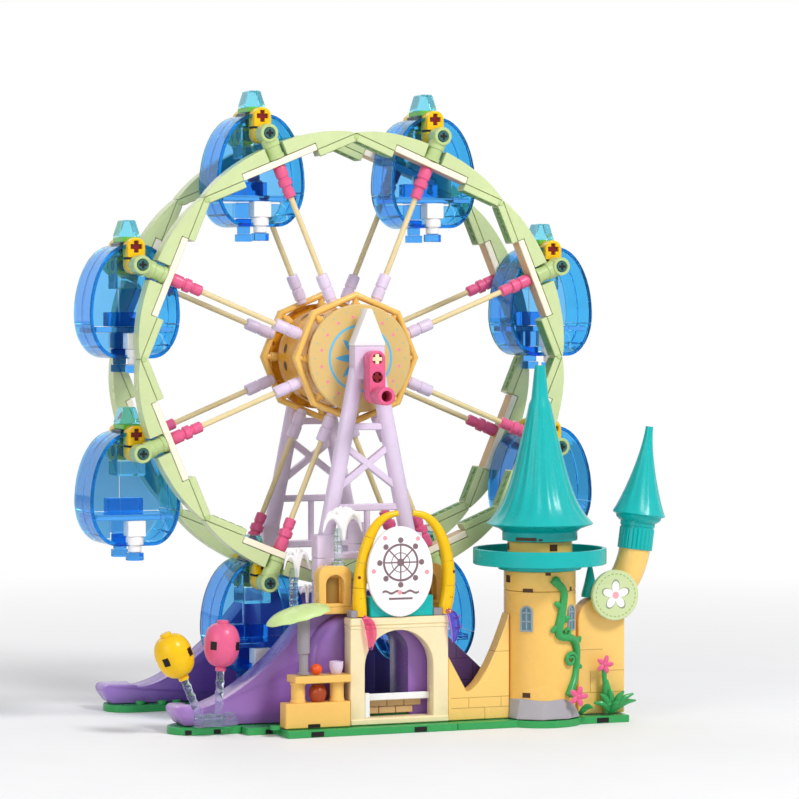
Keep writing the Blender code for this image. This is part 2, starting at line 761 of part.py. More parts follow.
def gondola_shell_shape():
    """Both side shells with floor, top block, cap, end bricks and feet, measured from the pivot."""
    band = slab([shell_outline(0), shell_outline(SHELL_WALL)], (-SHELL_HALF_DEPTH, SHELL_HALF_DEPTH))
    block = box(
        (-BLOCK_HALF_WIDTH, BLOCK_HALF_WIDTH),
        (-BLOCK_HALF_DEPTH, BLOCK_HALF_DEPTH),
        (BLOCK_BOTTOM, BLOCK_TOP),
    )
    cap = bar(
        (0, 0, BLOCK_TOP - PLATE / 2),
        (0, 0, BLOCK_TOP + CAP_HEIGHT),
        BLOCK_HALF_WIDTH * math.sqrt(2) * 0.94,
        4,
        CAP_TOP_HALF * math.sqrt(2),
    )
    moved(cap, Matrix.Rotation(math.pi / 4, 4, "Z"))
    floor_half = shell_half_width_at(FLOOR_TOP - FLOOR_THICKNESS) - SHELL_WALL / 2
    floor = box(
        (-floor_half, floor_half),
        (-SHELL_HALF_DEPTH + SHELL_WALL / 2, SHELL_HALF_DEPTH - SHELL_WALL / 2),
        (FLOOR_TOP - FLOOR_THICKNESS, FLOOR_TOP),
    )
    shapes = [band, block, cap, floor]
    slots = []
    slot_half = LEVER_WIDTH / 2 + GONDOLA_PLAY
    for side in (-1, 1):
        ends = sorted((side * LEVER_BACK, side * LEVER_FACE))
        middle = sum(ends) / 2
        brick_height = (SEAT_BRICK_BOTTOM, FLOOR_TOP - FLOOR_THICKNESS / 2)
        shapes.append(box((-LEVER_WIDTH / 2, LEVER_WIDTH / 2), ends, brick_height))
        shapes.append(bar((0, middle, FOOT_BOTTOM), (0, middle, SEAT_BRICK_BOTTOM + PLATE / 2), FOOT_RADIUS))
        slot_y = sorted((side * BLOCK_HALF_DEPTH, side * 2 * LEVER_FACE))
        slots.append(box((-slot_half, slot_half), slot_y, (-STUD, BLOCK_TOP)))
    bore = bar((0, -LEVER_FACE, STUD), (0, LEVER_FACE, STUD), CROSS_AXLE_RADIUS + TOUCH)
    return fused(shapes, slots + [bore])


def gondola_frame_shape():
    """Both levers with their pivot pins and the cross axle between them, measured from the pivot."""
    shapes = [bar((0, -LEVER_FACE + STUD / 4, STUD), (0, LEVER_FACE - STUD / 4, STUD), CROSS_AXLE_RADIUS)]
    pin_end = HEAD_FRONT + GONDOLA_PLAY
    for side in (-1, 1):
        ends = sorted((side * LEVER_BACK, side * LEVER_FACE))
        shapes.append(moved(slab([beam_outline(LEVER_WIDTH, STUD)], ends), Matrix.Translation((0, 0, STUD))))
        shapes.append(bar((0, side * (LEVER_BACK + STUD / 4), 0), (0, side * pin_end, 0), PIN_RADIUS))
    return fused(shapes)


def stand_shape():
    """The front stand, measured from the hub: cap, axle block, legs, rungs, cross, sill and columns."""
    y = (-STAND_FRONT, -STAND_BACK)
    spread = lambda drop: STAND_LEG_OFFSET + STAND_LEG_SPREAD * drop
    foot = spread(-SILL_TOP)
    block_half = STAND_BLOCK_HALF
    cap_base = STAND_BLOCK_ABOVE
    shapes = [box((-block_half, block_half), y, (-STAND_BLOCK_BELOW, cap_base))]
    cap_half = block_half + TOUCH
    cap = [
        (-cap_half, cap_base - PLATE / 2),
        (cap_half, cap_base - PLATE / 2),
        (cap_half, cap_base),
        (STAND_CAP_TOP_HALF, cap_base + STAND_CAP_HEIGHT),
        (-STAND_CAP_TOP_HALF, cap_base + STAND_CAP_HEIGHT),
        (-cap_half, cap_base),
    ]
    shapes.append(slab([cap], (y[0] + TOUCH, y[1] - TOUCH)))
    for side in (-1, 1):
        top = (side * spread(STAND_BLOCK_BELOW / 2), -STAND_Y, -STAND_BLOCK_BELOW / 2)
        bottom = (side * foot, -STAND_Y, SILL_TOP - SILL_HEIGHT / 2)
        shapes.append(bar(top, bottom, STAND_LEG_RADIUS, 12))
        cross_top = (side * spread(CROSS_TOP_DROP), -CROSS_TOP_DROP)
        cross_bottom = (-side * spread(CROSS_BOTTOM_DROP), -CROSS_BOTTOM_DROP)
        cross_half = CROSS_DEPTH / 2 + side * TOUCH / 2
        cross_y = (-STAND_Y - cross_half, -STAND_Y + cross_half)
        shapes.append(strip(cross_top, cross_bottom, CROSS_WIDTH, cross_y))
        middle = side * foot
        column = (middle - COLUMN_WIDTH / 2, middle + COLUMN_WIDTH / 2)
        shapes.append(box(column, y, (COLUMN_BOTTOM, SILL_TOP + STUD)))
    rung_y = (-STAND_Y - STAND_LEG_RADIUS / 2, -STAND_Y + STAND_LEG_RADIUS / 2)
    for drop in (UPPER_RUNG_DROP, LOWER_RUNG_DROP):
        height = (-drop - RUNG_THICKNESS / 2, -drop + RUNG_THICKNESS / 2)
        shapes.append(box((-spread(drop), spread(drop)), rung_y, height))
    shapes.append(bar((0, -STAND_Y, SILL_TOP - SILL_HEIGHT / 2), (0, -STAND_Y, -LOWER_RUNG_DROP), POST_RADIUS, 8))
    sill_y = (y[0] + TOUCH, y[1] - TOUCH)
    shapes.append(box((-foot, foot), sill_y, (SILL_TOP - SILL_HEIGHT, SILL_TOP)))
    bore = bar((0, -STAND_FRONT - STUD, 0), (0, -STAND_BACK + STUD, 0), BORE_RADIUS, 12)
    return fused(shapes, [bore])


def wing_outline(nose_left, slope_end):
    """A mound's XZ outline: round nose, hollow rise to the flat top, and the slope on the right."""
    nose_top = SEAT + NOSE_HEIGHT
    nose_round = NOSE_HEIGHT / 3
    points = [(nose_left, SEAT)]
    points += arc((nose_left + nose_round, nose_top - nose_round), nose_round, math.pi, math.pi / 2, 3)
    points.append((NOSE_RIGHT, nose_top))
    low = SEAT + SWOOP_START
    for step in range(SWOOP_POINTS + 1):
        share = step / SWOOP_POINTS
        across = SWOOP_LEFT + (SWOOP_RIGHT - SWOOP_LEFT) * share
        points.append((across, low + (MOUND_TOP - low) * share**SWOOP_POWER))
    points.append((SLOPE_TOP, MOUND_TOP))
    points.append((slope_end, MOUND_TOP - SLOPE_FALL * (slope_end - SLOPE_TOP)))
    points.append((slope_end, SEAT))
    return points


def swept_back(shape):
    """Carries the outer end of a wing towards the back."""
    for vert in shape.data.vertices:
        share = (WING_SWEEP_START - vert.co.x) / (WING_SWEEP_START - FRONT_NOSE_LEFT)
        vert.co.y += WING_SWEEP * max(0, share)
    return shape


def wing(middle, nose_left, slope_end):
    y = (middle - WING_THICKNESS / 2, middle + WING_THICKNESS / 2)
    return swept_back(slab([wing_outline(nose_left, slope_end)], y))


def passage(y):
    width = PASSAGE_RIGHT - PASSAGE_LEFT
    spring = SEAT + PASSAGE_HEIGHT - width / 2
    middle = (PASSAGE_LEFT + PASSAGE_RIGHT) / 2
    outline = [(PASSAGE_LEFT, SEAT - PLATE), (PASSAGE_RIGHT, SEAT - PLATE)]
    outline += arc((middle, spring), width / 2, 0, math.pi, ARCH_STEPS)
    return slab([outline], y)


def front_mound_shape():
    slope_end = TOWER_X - TOWER_RADIUS - STUD / 8
    shoulder = box(
        (SHOULDER_LEFT, SHOULDER_RIGHT),
        (SHOULDER_FRONT, FRONT_WING_Y),
        (SEAT, SHOULDER_TOP),
    )
    rounded(
        shoulder,
        SHOULDER_ROUND,
        lambda a, b: max(a.y, b.y) < FRONT_WING_FACE and abs(a.x - b.x) < STUD and max(a.x, b.x) < 0,
        steps=4,
    )
    lamp = mound_lamp_shapes()
    y = (SHOULDER_FRONT - STUD, FRONT_WING_Y + WING_THICKNESS)
    return fused([wing(FRONT_WING_Y, FRONT_NOSE_LEFT, slope_end), shoulder, *lamp], [passage(y)])


def mound_lamp_shapes():
    base = (MOUND_LAMP_X, FRONT_WING_Y, SEAT + NOSE_HEIGHT)
    top = (MOUND_LAMP_X, FRONT_WING_Y, MOUND_LAMP_TOP)
    return [bar(base, top, LAMP_POST_RADIUS), plume(top, MOUND_PLUME)]


def plume(top, radii):
    """A white ornament with curled blades, on top of its post."""
    middle = Vector(top) + Vector((radii[0] / 4, 0, 0))
    return ball(middle, radii, 12, 8)


def rear_mound_shape():
    wing_face = REAR_WING_Y - WING_THICKNESS / 2
    slope_end = SLOPE_TOP + (MOUND_TOP - SEAT - PLATE) / SLOPE_FALL
    block = box(
        (SHOULDER_LEFT, -SHOULDER_LEFT),
        (wing_face - REAR_BLOCK_DEPTH, REAR_WING_Y),
        (SEAT, MOUND_TOP),
    )
    y = (wing_face - REAR_BLOCK_DEPTH - STUD, REAR_WING_Y + WING_THICKNESS)
    return fused([wing(REAR_WING_Y, REAR_NOSE_LEFT, slope_end), block], [passage(y)])


def base_shape():
    """The base plates as one: main field, front strip, a pad under the tower and a lobe under each nose."""
    height = (0, BASE_TOP)
    shapes = [
        box((BASE_LEFT, BASE_RIGHT), (BASE_STEP, BASE_BACK), height),
        box((BASE_FRONT_LEFT, BASE_RIGHT), (BASE_FRONT, BASE_STEP + PLATE), height),
        bar((TOWER_X, TOWER_Y, 0), (TOWER_X, TOWER_Y, BASE_TOP), ROCK_RADIUS + PLATE / 4, 24),
    ]
    for lobe_left, middle in ((FRONT_LOBE_LEFT, FRONT_WING_Y), (REAR_LOBE_LEFT, REAR_WING_Y)):
        across = middle + WING_SWEEP / 2
        shapes.append(box((lobe_left, BASE_LEFT + PLATE), (across - LOBE_RADIUS, across + LOBE_RADIUS), height))
        shapes.append(bar((lobe_left, across, 0), (lobe_left, across, BASE_TOP), LOBE_RADIUS, 16))
    return fused(shapes)


def gate_shape():
    y = (GATE_FRONT, GATE_FRONT + GATE_DEPTH)
    outer = [(GATE_LEFT, SEAT), (GATE_RIGHT, SEAT), (GATE_RIGHT, GATE_TOP), (GATE_LEFT, GATE_TOP)]
    half = GATE_OPENING / 2
    sill = SEAT + GATE_SILL
    opening = [(GATE_X - half, sill), (GATE_X + half, sill)]
    opening += arc((GATE_X, SEAT + GATE_SPRING), half, 0, math.pi, ARCH_STEPS)
    lintel = box(
        (GATE_LEFT, GATE_RIGHT),
        (y[0] - LINTEL_LIP, y[1]),
        (GATE_TOP - LINTEL_HEIGHT, GATE_TOP),
    )
    return fused([slab([outer, opening], y), lintel])


def sign_shape():
    """The oval plaque in front of its block, both standing on the gate's lintel."""
    block_front = GATE_FRONT + PLATE / 4
    middle = GATE_X + SIGN_BLOCK_SHIFT
    block = box(
        (middle - SIGN_BLOCK_WIDTH / 2, middle + SIGN_BLOCK_WIDTH / 2),
        (block_front, block_front + SIGN_BLOCK_DEPTH),
        (GATE_SEAT, GATE_SEAT + SIGN_BLOCK_HEIGHT),
    )
    centre = (GATE_X, GATE_SEAT + SIGN_HALF_HEIGHT)
    outline = [
        (
            centre[0] + SIGN_HALF_WIDTH * math.cos(2 * math.pi * step / 36),
            centre[1] + SIGN_HALF_HEIGHT * math.sin(2 * math.pi * step / 36),
        )
        for step in range(36)
    ]
    plaque = slab([outline], (block_front + TOUCH - SIGN_THICKNESS, block_front + TOUCH))
    return fused([block, plaque])


def horn_shape(side):
    """A horn that rises from the lintel, bows out and curls in over the sign."""
    y = GATE_FRONT + GATE_DEPTH / 2
    middle = GATE_X + SIGN_BLOCK_SHIFT
    foot = HORN_RADIUS
    points, radii = [(middle + side * HORN_SPREAD, y, GATE_SEAT)], [HORN_RADIUS]
    for step in range(HORN_POINTS + 1):
        share = step / HORN_POINTS
        inward = (HORN_SPREAD - HORN_TIP_GAP) * share**1.5
        bow = HORN_BULGE * math.sqrt(math.sin(math.pi * min(1, share * 1.2)))
        rise = foot + (HORN_HEIGHT - foot) * math.sin(math.pi / 2 * share)
        points.append((middle + side * (HORN_SPREAD + bow - inward), y, GATE_SEAT + rise))
        radii.append(HORN_RADIUS + (HORN_TIP_RADIUS - HORN_RADIUS) * share**1.5)
    return tube(points, radii, 2)


def arch_window(middle, y, floor):
    half = WINDOW_WIDTH / 2
    top = floor + WINDOW_HEIGHT
    inner = WINDOW_ROUND
    outline = [(middle - half, floor - WALKWAY_HEIGHT / 2), (middle + half, floor - WALKWAY_HEIGHT / 2)]
    outline += arc((middle + half - inner, top - inner), inner, 0, math.pi / 2, 4)
    outline += arc((middle - half + inner, top - inner), inner, math.pi / 2, math.pi, 4)
    niche_half = NICHE_WIDTH / 2
    niche = [(middle - niche_half, floor + PLATE / 2), (middle + niche_half, floor + PLATE / 2)]
    niche += arc((middle, floor + PLATE / 2 + NICHE_HEIGHT - niche_half), niche_half, 0, math.pi, 8)
    return slab([outline], y), slab([niche], (y[0] - STUD, y[0] + NICHE_DEPTH))


def gallery_shape():
    """A walkway on the mound's shoulder with an arch window at each end and an ornament on the left one."""
    y = (SHOULDER_FRONT, FRONT_WING_FACE - TOUCH)
    bottom = SHOULDER_TOP + TOUCH
    floor = bottom + WALKWAY_HEIGHT
    shapes = [box((GALLERY_LEFT, GALLERY_RIGHT), y, (bottom, floor))]
    holes = []
    for middle in (GALLERY_LEFT + WINDOW_WIDTH / 2, GALLERY_RIGHT - WINDOW_WIDTH / 2):
        window, niche = arch_window(middle, y, floor)
        shapes.append(window)
        holes.append(niche)
    lamp_y = sum(y) / 2
    top = (GALLERY_LAMP_X, lamp_y, floor + WINDOW_HEIGHT + GALLERY_LAMP_HEIGHT)
    shapes.append(bar((GALLERY_LAMP_X, lamp_y, floor + WINDOW_HEIGHT - WINDOW_ROUND), top, LAMP_POST_RADIUS, 8))
    shapes.append(plume(top, GALLERY_PLUME))
    return fused(shapes, holes)


def vine_path():
    """A smooth line through the vine's knots, laid on the tower's round front."""
    knots = [Vector(knot) for knot in VINE_KNOTS]
    knots = [2 * knots[0] - knots[1], *knots, 2 * knots[-1] - knots[-2]]
    points = []
    for index in range(1, len(knots) - 2):
        before, start, end, after = knots[index - 1 : index + 3]
        for step in range(VINE_STEPS + (index == len(knots) - 3)):
            t = step / VINE_STEPS
            across, height = (
                2 * start
                + (end - before) * t
                + (2 * before - 5 * start + 4 * end - after) * t**2
                + (3 * start - before - 3 * end + after) * t**3
            ) / 2
            depth = math.sqrt((TOWER_RADIUS + VINE_RADIUS / 2) ** 2 - across**2)
            points.append((TOWER_X + across, TOWER_Y - depth, SEAT + height))
    return points


def tower_shape():
    neck_bottom = SEAT + TOWER_HEIGHT
    top = neck_bottom + TOWER_NECK_HEIGHT
    profile = [
        (0, top),
        (TOWER_NECK_RADIUS, top),
        (TOWER_NECK_RADIUS, neck_bottom),
        (TOWER_RADIUS, neck_bottom),
        (TOWER_RADIUS, SEAT),
        (0, SEAT),
    ]
    body = moved(turned(profile, 28), Matrix.Translation((TOWER_X, TOWER_Y, 0)))
    rock_foot = (TOWER_X + ROCK_SHIFT, TOWER_Y - ROCK_SHIFT, SEAT)
    rock_top = (TOWER_X + ROCK_SHIFT, TOWER_Y - ROCK_SHIFT, SEAT + ROCK_HEIGHT)
    rock = bar(rock_foot, rock_top, ROCK_RADIUS, 10, ROCK_TOP_RADIUS)
    wall_left = side_wall_left() - TOUCH
    rock_end = TOWER_X + 2 * ROCK_RADIUS
    cut = box((wall_left, rock_end), (wall_front() - TOUCH, TOWER_Y + 2 * ROCK_RADIUS), (0, MOUND_TOP))
    rock = fused([rock], [cut])
    path = vine_path()
    return fused([body, rock, tube(path, [VINE_RADIUS] * len(path), 1)])


def balcony_shape():
    bottom = SEAT + TOWER_HEIGHT + TOUCH
    floor = bottom + BALCONY_SKIRT_HEIGHT
    bore = TOWER_NECK_RADIUS + TOUCH
    inner = BALCONY_RADIUS - BALCONY_WALL
    profile = [
        (BALCONY_RADIUS, floor + BALCONY_WALL_HEIGHT),
        (BALCONY_RADIUS, floor),
        (BALCONY_SKIRT_RADIUS, floor),
        (BALCONY_SKIRT_RADIUS, bottom),
        (bore, bottom),
        (bore, floor + BALCONY_FLOOR),
        (inner, floor + BALCONY_FLOOR),
        (inner, floor + BALCONY_WALL_HEIGHT),
    ]
    return moved(turned(profile, 28, closed=True), Matrix.Translation((TOWER_X, TOWER_Y, 0)))


def spire_profile(radius, height, rim, collar_radius, collar_height):
    """A pointed roof with a flared edge over a collar, from the tip down to the collar's foot at zero."""
    edge = collar_height + rim
    tip = radius * ROOF_TIP_SHARE
    points = [(0, edge + height)]
    for step in range(ROOF_POINTS + 1):
        share = step / ROOF_POINTS
        width = tip + (radius - tip) * share**ROOF_POWER
        points.append((width, edge + height * (1 - share) - (tip / 4 if step == 0 else 0)))
    points += [(radius, collar_height), (collar_radius, collar_height), (collar_radius, 0), (0, 0)]
    return points


def tower_roof_shape():
    bottom = SEAT + TOWER_HEIGHT + TOWER_NECK_HEIGHT + TOUCH
    profile = spire_profile(ROOF_RADIUS, ROOF_HEIGHT, ROOF_RIM, ROOF_COLLAR_RADIUS, ROOF_COLLAR_HEIGHT)
    return moved(turned(profile, 24), Matrix.Translation((TOWER_X, TOWER_Y, bottom)))


def wall_front():
    return TOWER_Y - WALL_THICKNESS / 2


def side_wall_left():
    return TOWER_X + TOWER_RADIUS + STUD / 8


def curved_wall_shape():
    """The low wall between gate and tower, whose top dips in a hollow curve."""
    left = GATE_RIGHT + TOUCH
    right = TOWER_X - TOWER_RADIUS - TOUCH
    dip = left + (right - left) * CURVED_WALL_DIP_SHARE
    points = [(left, SEAT), (right, SEAT)]
    for step in range(CURVED_WALL_POINTS + 1):
        share = 1 - step / CURVED_WALL_POINTS
        height = CURVED_WALL_DIP + (CURVED_WALL_TALL - CURVED_WALL_DIP) * share**1.7
        points.append((dip + (right - dip) * share, SEAT + height))
    points.append((left, SEAT + CURVED_WALL_HORN))
    return slab([points], (wall_front(), wall_front() + WALL_THICKNESS))


def elbow_path():
    """From the side wall's top up to the leaning side tower."""
    points = [Vector((SIDE_WALL_RIGHT + ELBOW_SHIFT, TOWER_Y, SEAT + SIDE_WALL_HEIGHT - PLATE / 2))]
    for step in range(ELBOW_POINTS):
        heading = ELBOW_HEADING + (SIDE_LEAN - ELBOW_HEADING) * (step + 0.5) / ELBOW_POINTS
        onward = Vector((math.sin(heading), 0, math.cos(heading))) * ELBOW_BEND / ELBOW_POINTS
        points.append(points[-1] + onward)
    return points


def lean_at(place):
    return Matrix.Translation(place) @ Matrix.Rotation(SIDE_LEAN, 4, "Y")


def side_tower_shape():
    """The side wall, the bent pipe on it with its ribbed collar, and the round emblem in front."""
    y = (wall_front(), wall_front() + WALL_THICKNESS)
    left, right, top = side_wall_left(), SIDE_WALL_RIGHT, SEAT + SIDE_WALL_HEIGHT
    corner = SIDE_WALL_ROUND
    outline = [(left, SEAT), (right, SEAT), (right, top)]
    outline += arc((left + corner, top - corner), corner, math.pi / 2, math.pi, 5)
    wall = slab([outline], y)
    path = elbow_path()
    elbow = tube(path, [ELBOW_RADIUS] * len(path), 3)
    collar = [
        (RIB_RADIUS - (RIB_DEPTH if step % 2 else 0), 2 * math.pi * step / (2 * RIB_COUNT))
        for step in range(2 * RIB_COUNT)
    ]
    ribs = outline_curve([[polar(radius, angle) for radius, angle in collar]], RIB_LENGTH)
    ribs = moved(as_mesh(ribs), lean_at(path[-1]) @ Matrix.Translation((0, 0, RIB_LENGTH / 2 - PLATE / 2)))
    emblem_height = top + EMBLEM_RAISE
    emblem_ends = [(EMBLEM_X, across, emblem_height) for across in (y[0] - EMBLEM_THICKNESS, y[0] + TOUCH)]
    emblem = bar(*emblem_ends, EMBLEM_RADIUS, 24)
    return fused([wall, elbow, ribs, emblem])


def side_roof_shape():
    profile = spire_profile(SIDE_ROOF_RADIUS, SIDE_ROOF_HEIGHT, ROOF_RIM, RIB_RADIUS + RIB_DEPTH, SIDE_ROOF_COLLAR)
    place = lean_at(elbow_path()[-1]) @ Matrix.Translation((0, 0, RIB_LENGTH - PLATE / 2 + TOUCH))
    return moved(turned(profile, 16), place)


def booth_levels():
    plinth = SEAT + BOOTH_PLINTH
    board = plinth + BOOTH_POST_HEIGHT
    return plinth, board, board + BOOTH_BOARD


def booth_middle_y():
    return BOOTH_FRONT + BOOTH_DEPTH / 2


def booth_shape():
    """The counter: plinth, two posts, the board on them and the pot between."""
    right = GATE_LEFT - 2 * TOUCH
    plinth, board, board_top = booth_levels()
    middle = booth_middle_y()
    board_left = right - BOOTH_BOARD_LENGTH
    shapes = [
        box((BOOTH_LEFT, right), (BOOTH_FRONT, BOOTH_FRONT + BOOTH_DEPTH), (SEAT, plinth)),
        box(
            (board_left, right),
            (middle - BOOTH_BOARD_DEPTH / 2, middle + BOOTH_BOARD_DEPTH / 2),
            (board, board_top),
        ),
    ]
    for across in (board_left + BOOTH_POST_RADIUS, right - BOOTH_POST_RADIUS - TOUCH):
        ends = [(across, middle, plinth - PLATE / 2), (across, middle, board + BOOTH_BOARD / 2)]
        shapes.append(bar(*ends, BOOTH_POST_RADIUS, 12))
    pot = board_left + BOOTH_BOARD_LENGTH / 2
    pot_ends = [(pot, middle, plinth - PLATE / 2), (pot, middle, plinth + POT_HEIGHT)]
    shapes.append(bar(*pot_ends, POT_RADIUS * 0.7, 12, POT_RADIUS))
    return fused(shapes)


def umbrella_shape():
    """A pole on the counter's board with a tilted leaf as its canopy."""
    foot = booth_levels()[2] + TOUCH
    middle = booth_middle_y()
    step = foot + POLE_FOOT_HEIGHT
    turn = Matrix.Rotation(CANOPY_TILT, 4, "Y")
    centre = Vector((POLE_X + CANOPY_SHIFT, middle, foot + POLE_HEIGHT - CANOPY_THICKNESS))
    inner_radii = [radius - CANOPY_THICKNESS for radius in CANOPY_RADII]
    outer = ball(centre, CANOPY_RADII, 16, 8, turn)
    inner = ball(centre, inner_radii, 16, 8, turn)
    below = box(*[(-2 * radius, 2 * radius) for radius in CANOPY_RADII[:2]], (-2 * CANOPY_RADII[2], 0))
    moved(below, Matrix.Translation(centre) @ turn)
    canopy = fused([outer], [inner, below])
    return fused(
        [
            canopy,
            bar((POLE_X, middle, foot), (POLE_X, middle, step + PLATE / 2), POLE_FOOT_RADIUS, 12),
            bar((POLE_X, middle, step), (POLE_X, middle, foot + POLE_HEIGHT + CANOPY_RADII[2] / 2), POLE_RADIUS, 12),
        ]
    )


def balloon_y():
    """In front of the front wing, which the balloons' feet just clear."""
    share = (WING_SWEEP_START - PINK_BALLOON["x"]) / (WING_SWEEP_START - FRONT_NOSE_LEFT)
    return FRONT_WING_FACE + WING_SWEEP * share - BALLOON_GAP - BALLOON_FOOT_RADIUS


def balloon_shape(sizes):
    """A balloon on its stem and foot, leaning about the foot."""
    stem, radius, height = sizes["stem"], sizes["radius"], sizes["height"]
    middle = stem + height / 2
    top = stem + height
    side = []
    for step in range(1, 7):
        angle = math.pi * step / 7
        swell = 1 - 0.10 * (1 - math.cos(angle)) / 2
        side.append((radius * swell * math.sin(angle) ** 0.9, middle + height / 2 * math.cos(angle)))
    profile = [(0, top + BALLOON_STUB_HEIGHT), (BALLOON_STUB_RADIUS, top + BALLOON_STUB_HEIGHT)]
    profile.append((BALLOON_STUB_RADIUS, side[0][1]))
    profile += side
    profile += [(BALLOON_NECK_RADIUS, stem), (BALLOON_NECK_RADIUS, stem - BALLOON_STUB_HEIGHT)]
    profile += [(BALLOON_STEM_RADIUS, stem - BALLOON_STUB_HEIGHT), (BALLOON_STEM_RADIUS, 0), (0, 0)]
    pivot = Vector((sizes["x"], balloon_y(), SEAT + BALLOON_FOOT_HEIGHT / 2))
    lean = Matrix.Translation(pivot) @ Matrix.Rotation(sizes["lean"], 4, "Y")
    body = moved(turned(profile, 12), lean)
    foot = bar((pivot.x, pivot.y, SEAT), (pivot.x, pivot.y, SEAT + BALLOON_FOOT_HEIGHT), BALLOON_FOOT_RADIUS, 12)
    return fused([body, foot])


def build_wheel():
    hub = axis("wheel_axis", (0, 0, HUB_HEIGHT))
    half_turn = (0, 0, math.pi)
    ring = solid(ring_shape(), "light_green")
    part("ring_front", ring, hub)
    part("ring_rear", ring, hub, turn=half_turn)
    frame = solid(hub_frame_shape(), "gold")
    part("hub_frame_front", frame, hub)
    part("hub_frame_rear", frame, hub, turn=half_turn)
    part("hub_drum", solid(drum_shape(), "gold"), hub)
    part("axle", solid(axle_shape(), "pink"), hub)
    part("crank_arm", solid(crank_arm_shape(), "pink"), hub)
    handle_axis = axis("crank_handle_axis", (0, 0, -CRANK_REACH), hub)
    part("crank_handle", solid(crank_handle_shape(), "pink"), handle_axis)
    spoke = solid(spoke_shape(), "lavender")
    for place, y in (("front", -RING_Y), ("rear", RING_Y)):
        for index in range(SEGMENTS):
            turn = (0, -SEGMENT_ANGLE * (index + 0.5), 0)
            part(f"spoke_{place}_{index + 1}", spoke, hub, (0, y, 0), turn)
    return hub


def build_gondolas(hub):
    shell = solid(gondola_shell_shape(), "clear_blue")
    frame = solid(gondola_frame_shape(), "yellow")
    for index in range(SEGMENTS):
        pivot = axis(f"gondola_{index + 1}_axis", pivot_place(index), hub)
        part(f"gondola_{index + 1}_shell", shell, pivot)
        part(f"gondola_{index + 1}_frame", frame, pivot)


def build_stands():
    stand = solid(stand_shape(), "lavender")
    part("stand_front", stand, at=(0, 0, HUB_HEIGHT))
    part("stand_rear", stand, at=(0, 0, HUB_HEIGHT), turn=(0, 0, math.pi))


def build_ground():
    part("base_plate", solid(base_shape(), "leaf_green"))
    part("mound_front", solid(front_mound_shape(), "purple"))
    part("mound_rear", solid(rear_mound_shape(), "purple"))
    part("gate", solid(gate_shape(), "cream"))
    part("sign", solid(sign_shape(), "white"))
    part("horn_left", solid(horn_shape(-1), "yellow"))
    part("horn_right", solid(horn_shape(1), "yellow"))
    part("arch_gallery", solid(gallery_shape(), "gold"))
    part("booth", solid(booth_shape(), "gold"))
    part("umbrella", solid(umbrella_shape(), "light_green"))
    part("balloon_yellow", solid(balloon_shape(YELLOW_BALLOON), "yellow"))
    part("balloon_pink", solid(balloon_shape(PINK_BALLOON), "pink"))


def build_castle():
    part("tower_body", solid(tower_shape(), "gold"))
    part("balcony", solid(balcony_shape(), "teal"))
    part("tower_roof", solid(tower_roof_shape(), "teal"))
    part("curved_wall", solid(curved_wall_shape(), "gold"))
    part("side_tower", solid(side_tower_shape(), "gold"))
    part("side_roof", solid(side_roof_shape(), "teal"))


def build():
    hub = build_wheel()
    build_gondolas(hub)
    build_stands()
    build_ground()
    build_castle()


build()
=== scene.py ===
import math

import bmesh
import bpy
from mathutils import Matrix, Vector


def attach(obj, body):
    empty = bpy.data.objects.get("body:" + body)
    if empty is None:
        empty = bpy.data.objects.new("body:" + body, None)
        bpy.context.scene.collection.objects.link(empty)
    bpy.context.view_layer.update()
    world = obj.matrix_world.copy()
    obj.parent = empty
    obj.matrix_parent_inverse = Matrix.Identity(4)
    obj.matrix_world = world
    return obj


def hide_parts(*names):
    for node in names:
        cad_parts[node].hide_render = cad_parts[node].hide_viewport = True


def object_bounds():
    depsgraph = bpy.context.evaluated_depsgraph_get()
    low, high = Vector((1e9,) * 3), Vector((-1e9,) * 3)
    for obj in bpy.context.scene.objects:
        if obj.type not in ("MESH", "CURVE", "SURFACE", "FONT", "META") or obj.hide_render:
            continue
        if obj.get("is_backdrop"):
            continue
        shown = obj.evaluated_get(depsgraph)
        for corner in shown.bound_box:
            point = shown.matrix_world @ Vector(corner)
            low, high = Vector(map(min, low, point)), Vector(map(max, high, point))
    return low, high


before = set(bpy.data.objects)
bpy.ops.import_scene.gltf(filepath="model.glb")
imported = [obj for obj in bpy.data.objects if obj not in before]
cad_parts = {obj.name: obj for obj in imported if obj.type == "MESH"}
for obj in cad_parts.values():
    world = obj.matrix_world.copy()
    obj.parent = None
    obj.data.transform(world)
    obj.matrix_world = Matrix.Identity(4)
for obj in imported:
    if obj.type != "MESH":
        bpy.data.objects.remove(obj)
cad_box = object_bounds()

# %% [markdown]
# # A building block ferris wheel
# The set is a big wheel with eight see-through gondolas, two lavender stands, purple mounds, an entrance
# gate and a small castle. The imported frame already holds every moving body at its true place, so each cell
# builds one visible part round it. Sizes here are in millimetres from the middle of the base, which is how
# a block builder would measure them, and each mesh is scaled to metres once, when it becomes an object.

MM = 0.001
HUB = 162.4  # the axle's height
SEAT = 3.5  # the height at which walls and mounds stand on the base

# %% [markdown]
# ## The camera
# A long lens keeps the rings nearly round, as in a catalogue photograph. The camera stands 1.5 m away,
# a little to the left of the wheel's axle and hardly above its middle.

# %% Camera
PHOTO_WIDTH, FOCAL_PIXELS, SENSOR = 799, 3300, 36
AZIMUTH, ELEVATION = math.radians(-21), math.radians(1.7)
LOOK_AT = Vector((29.6, 0, 143.0)) * MM
DISTANCE = 1.5

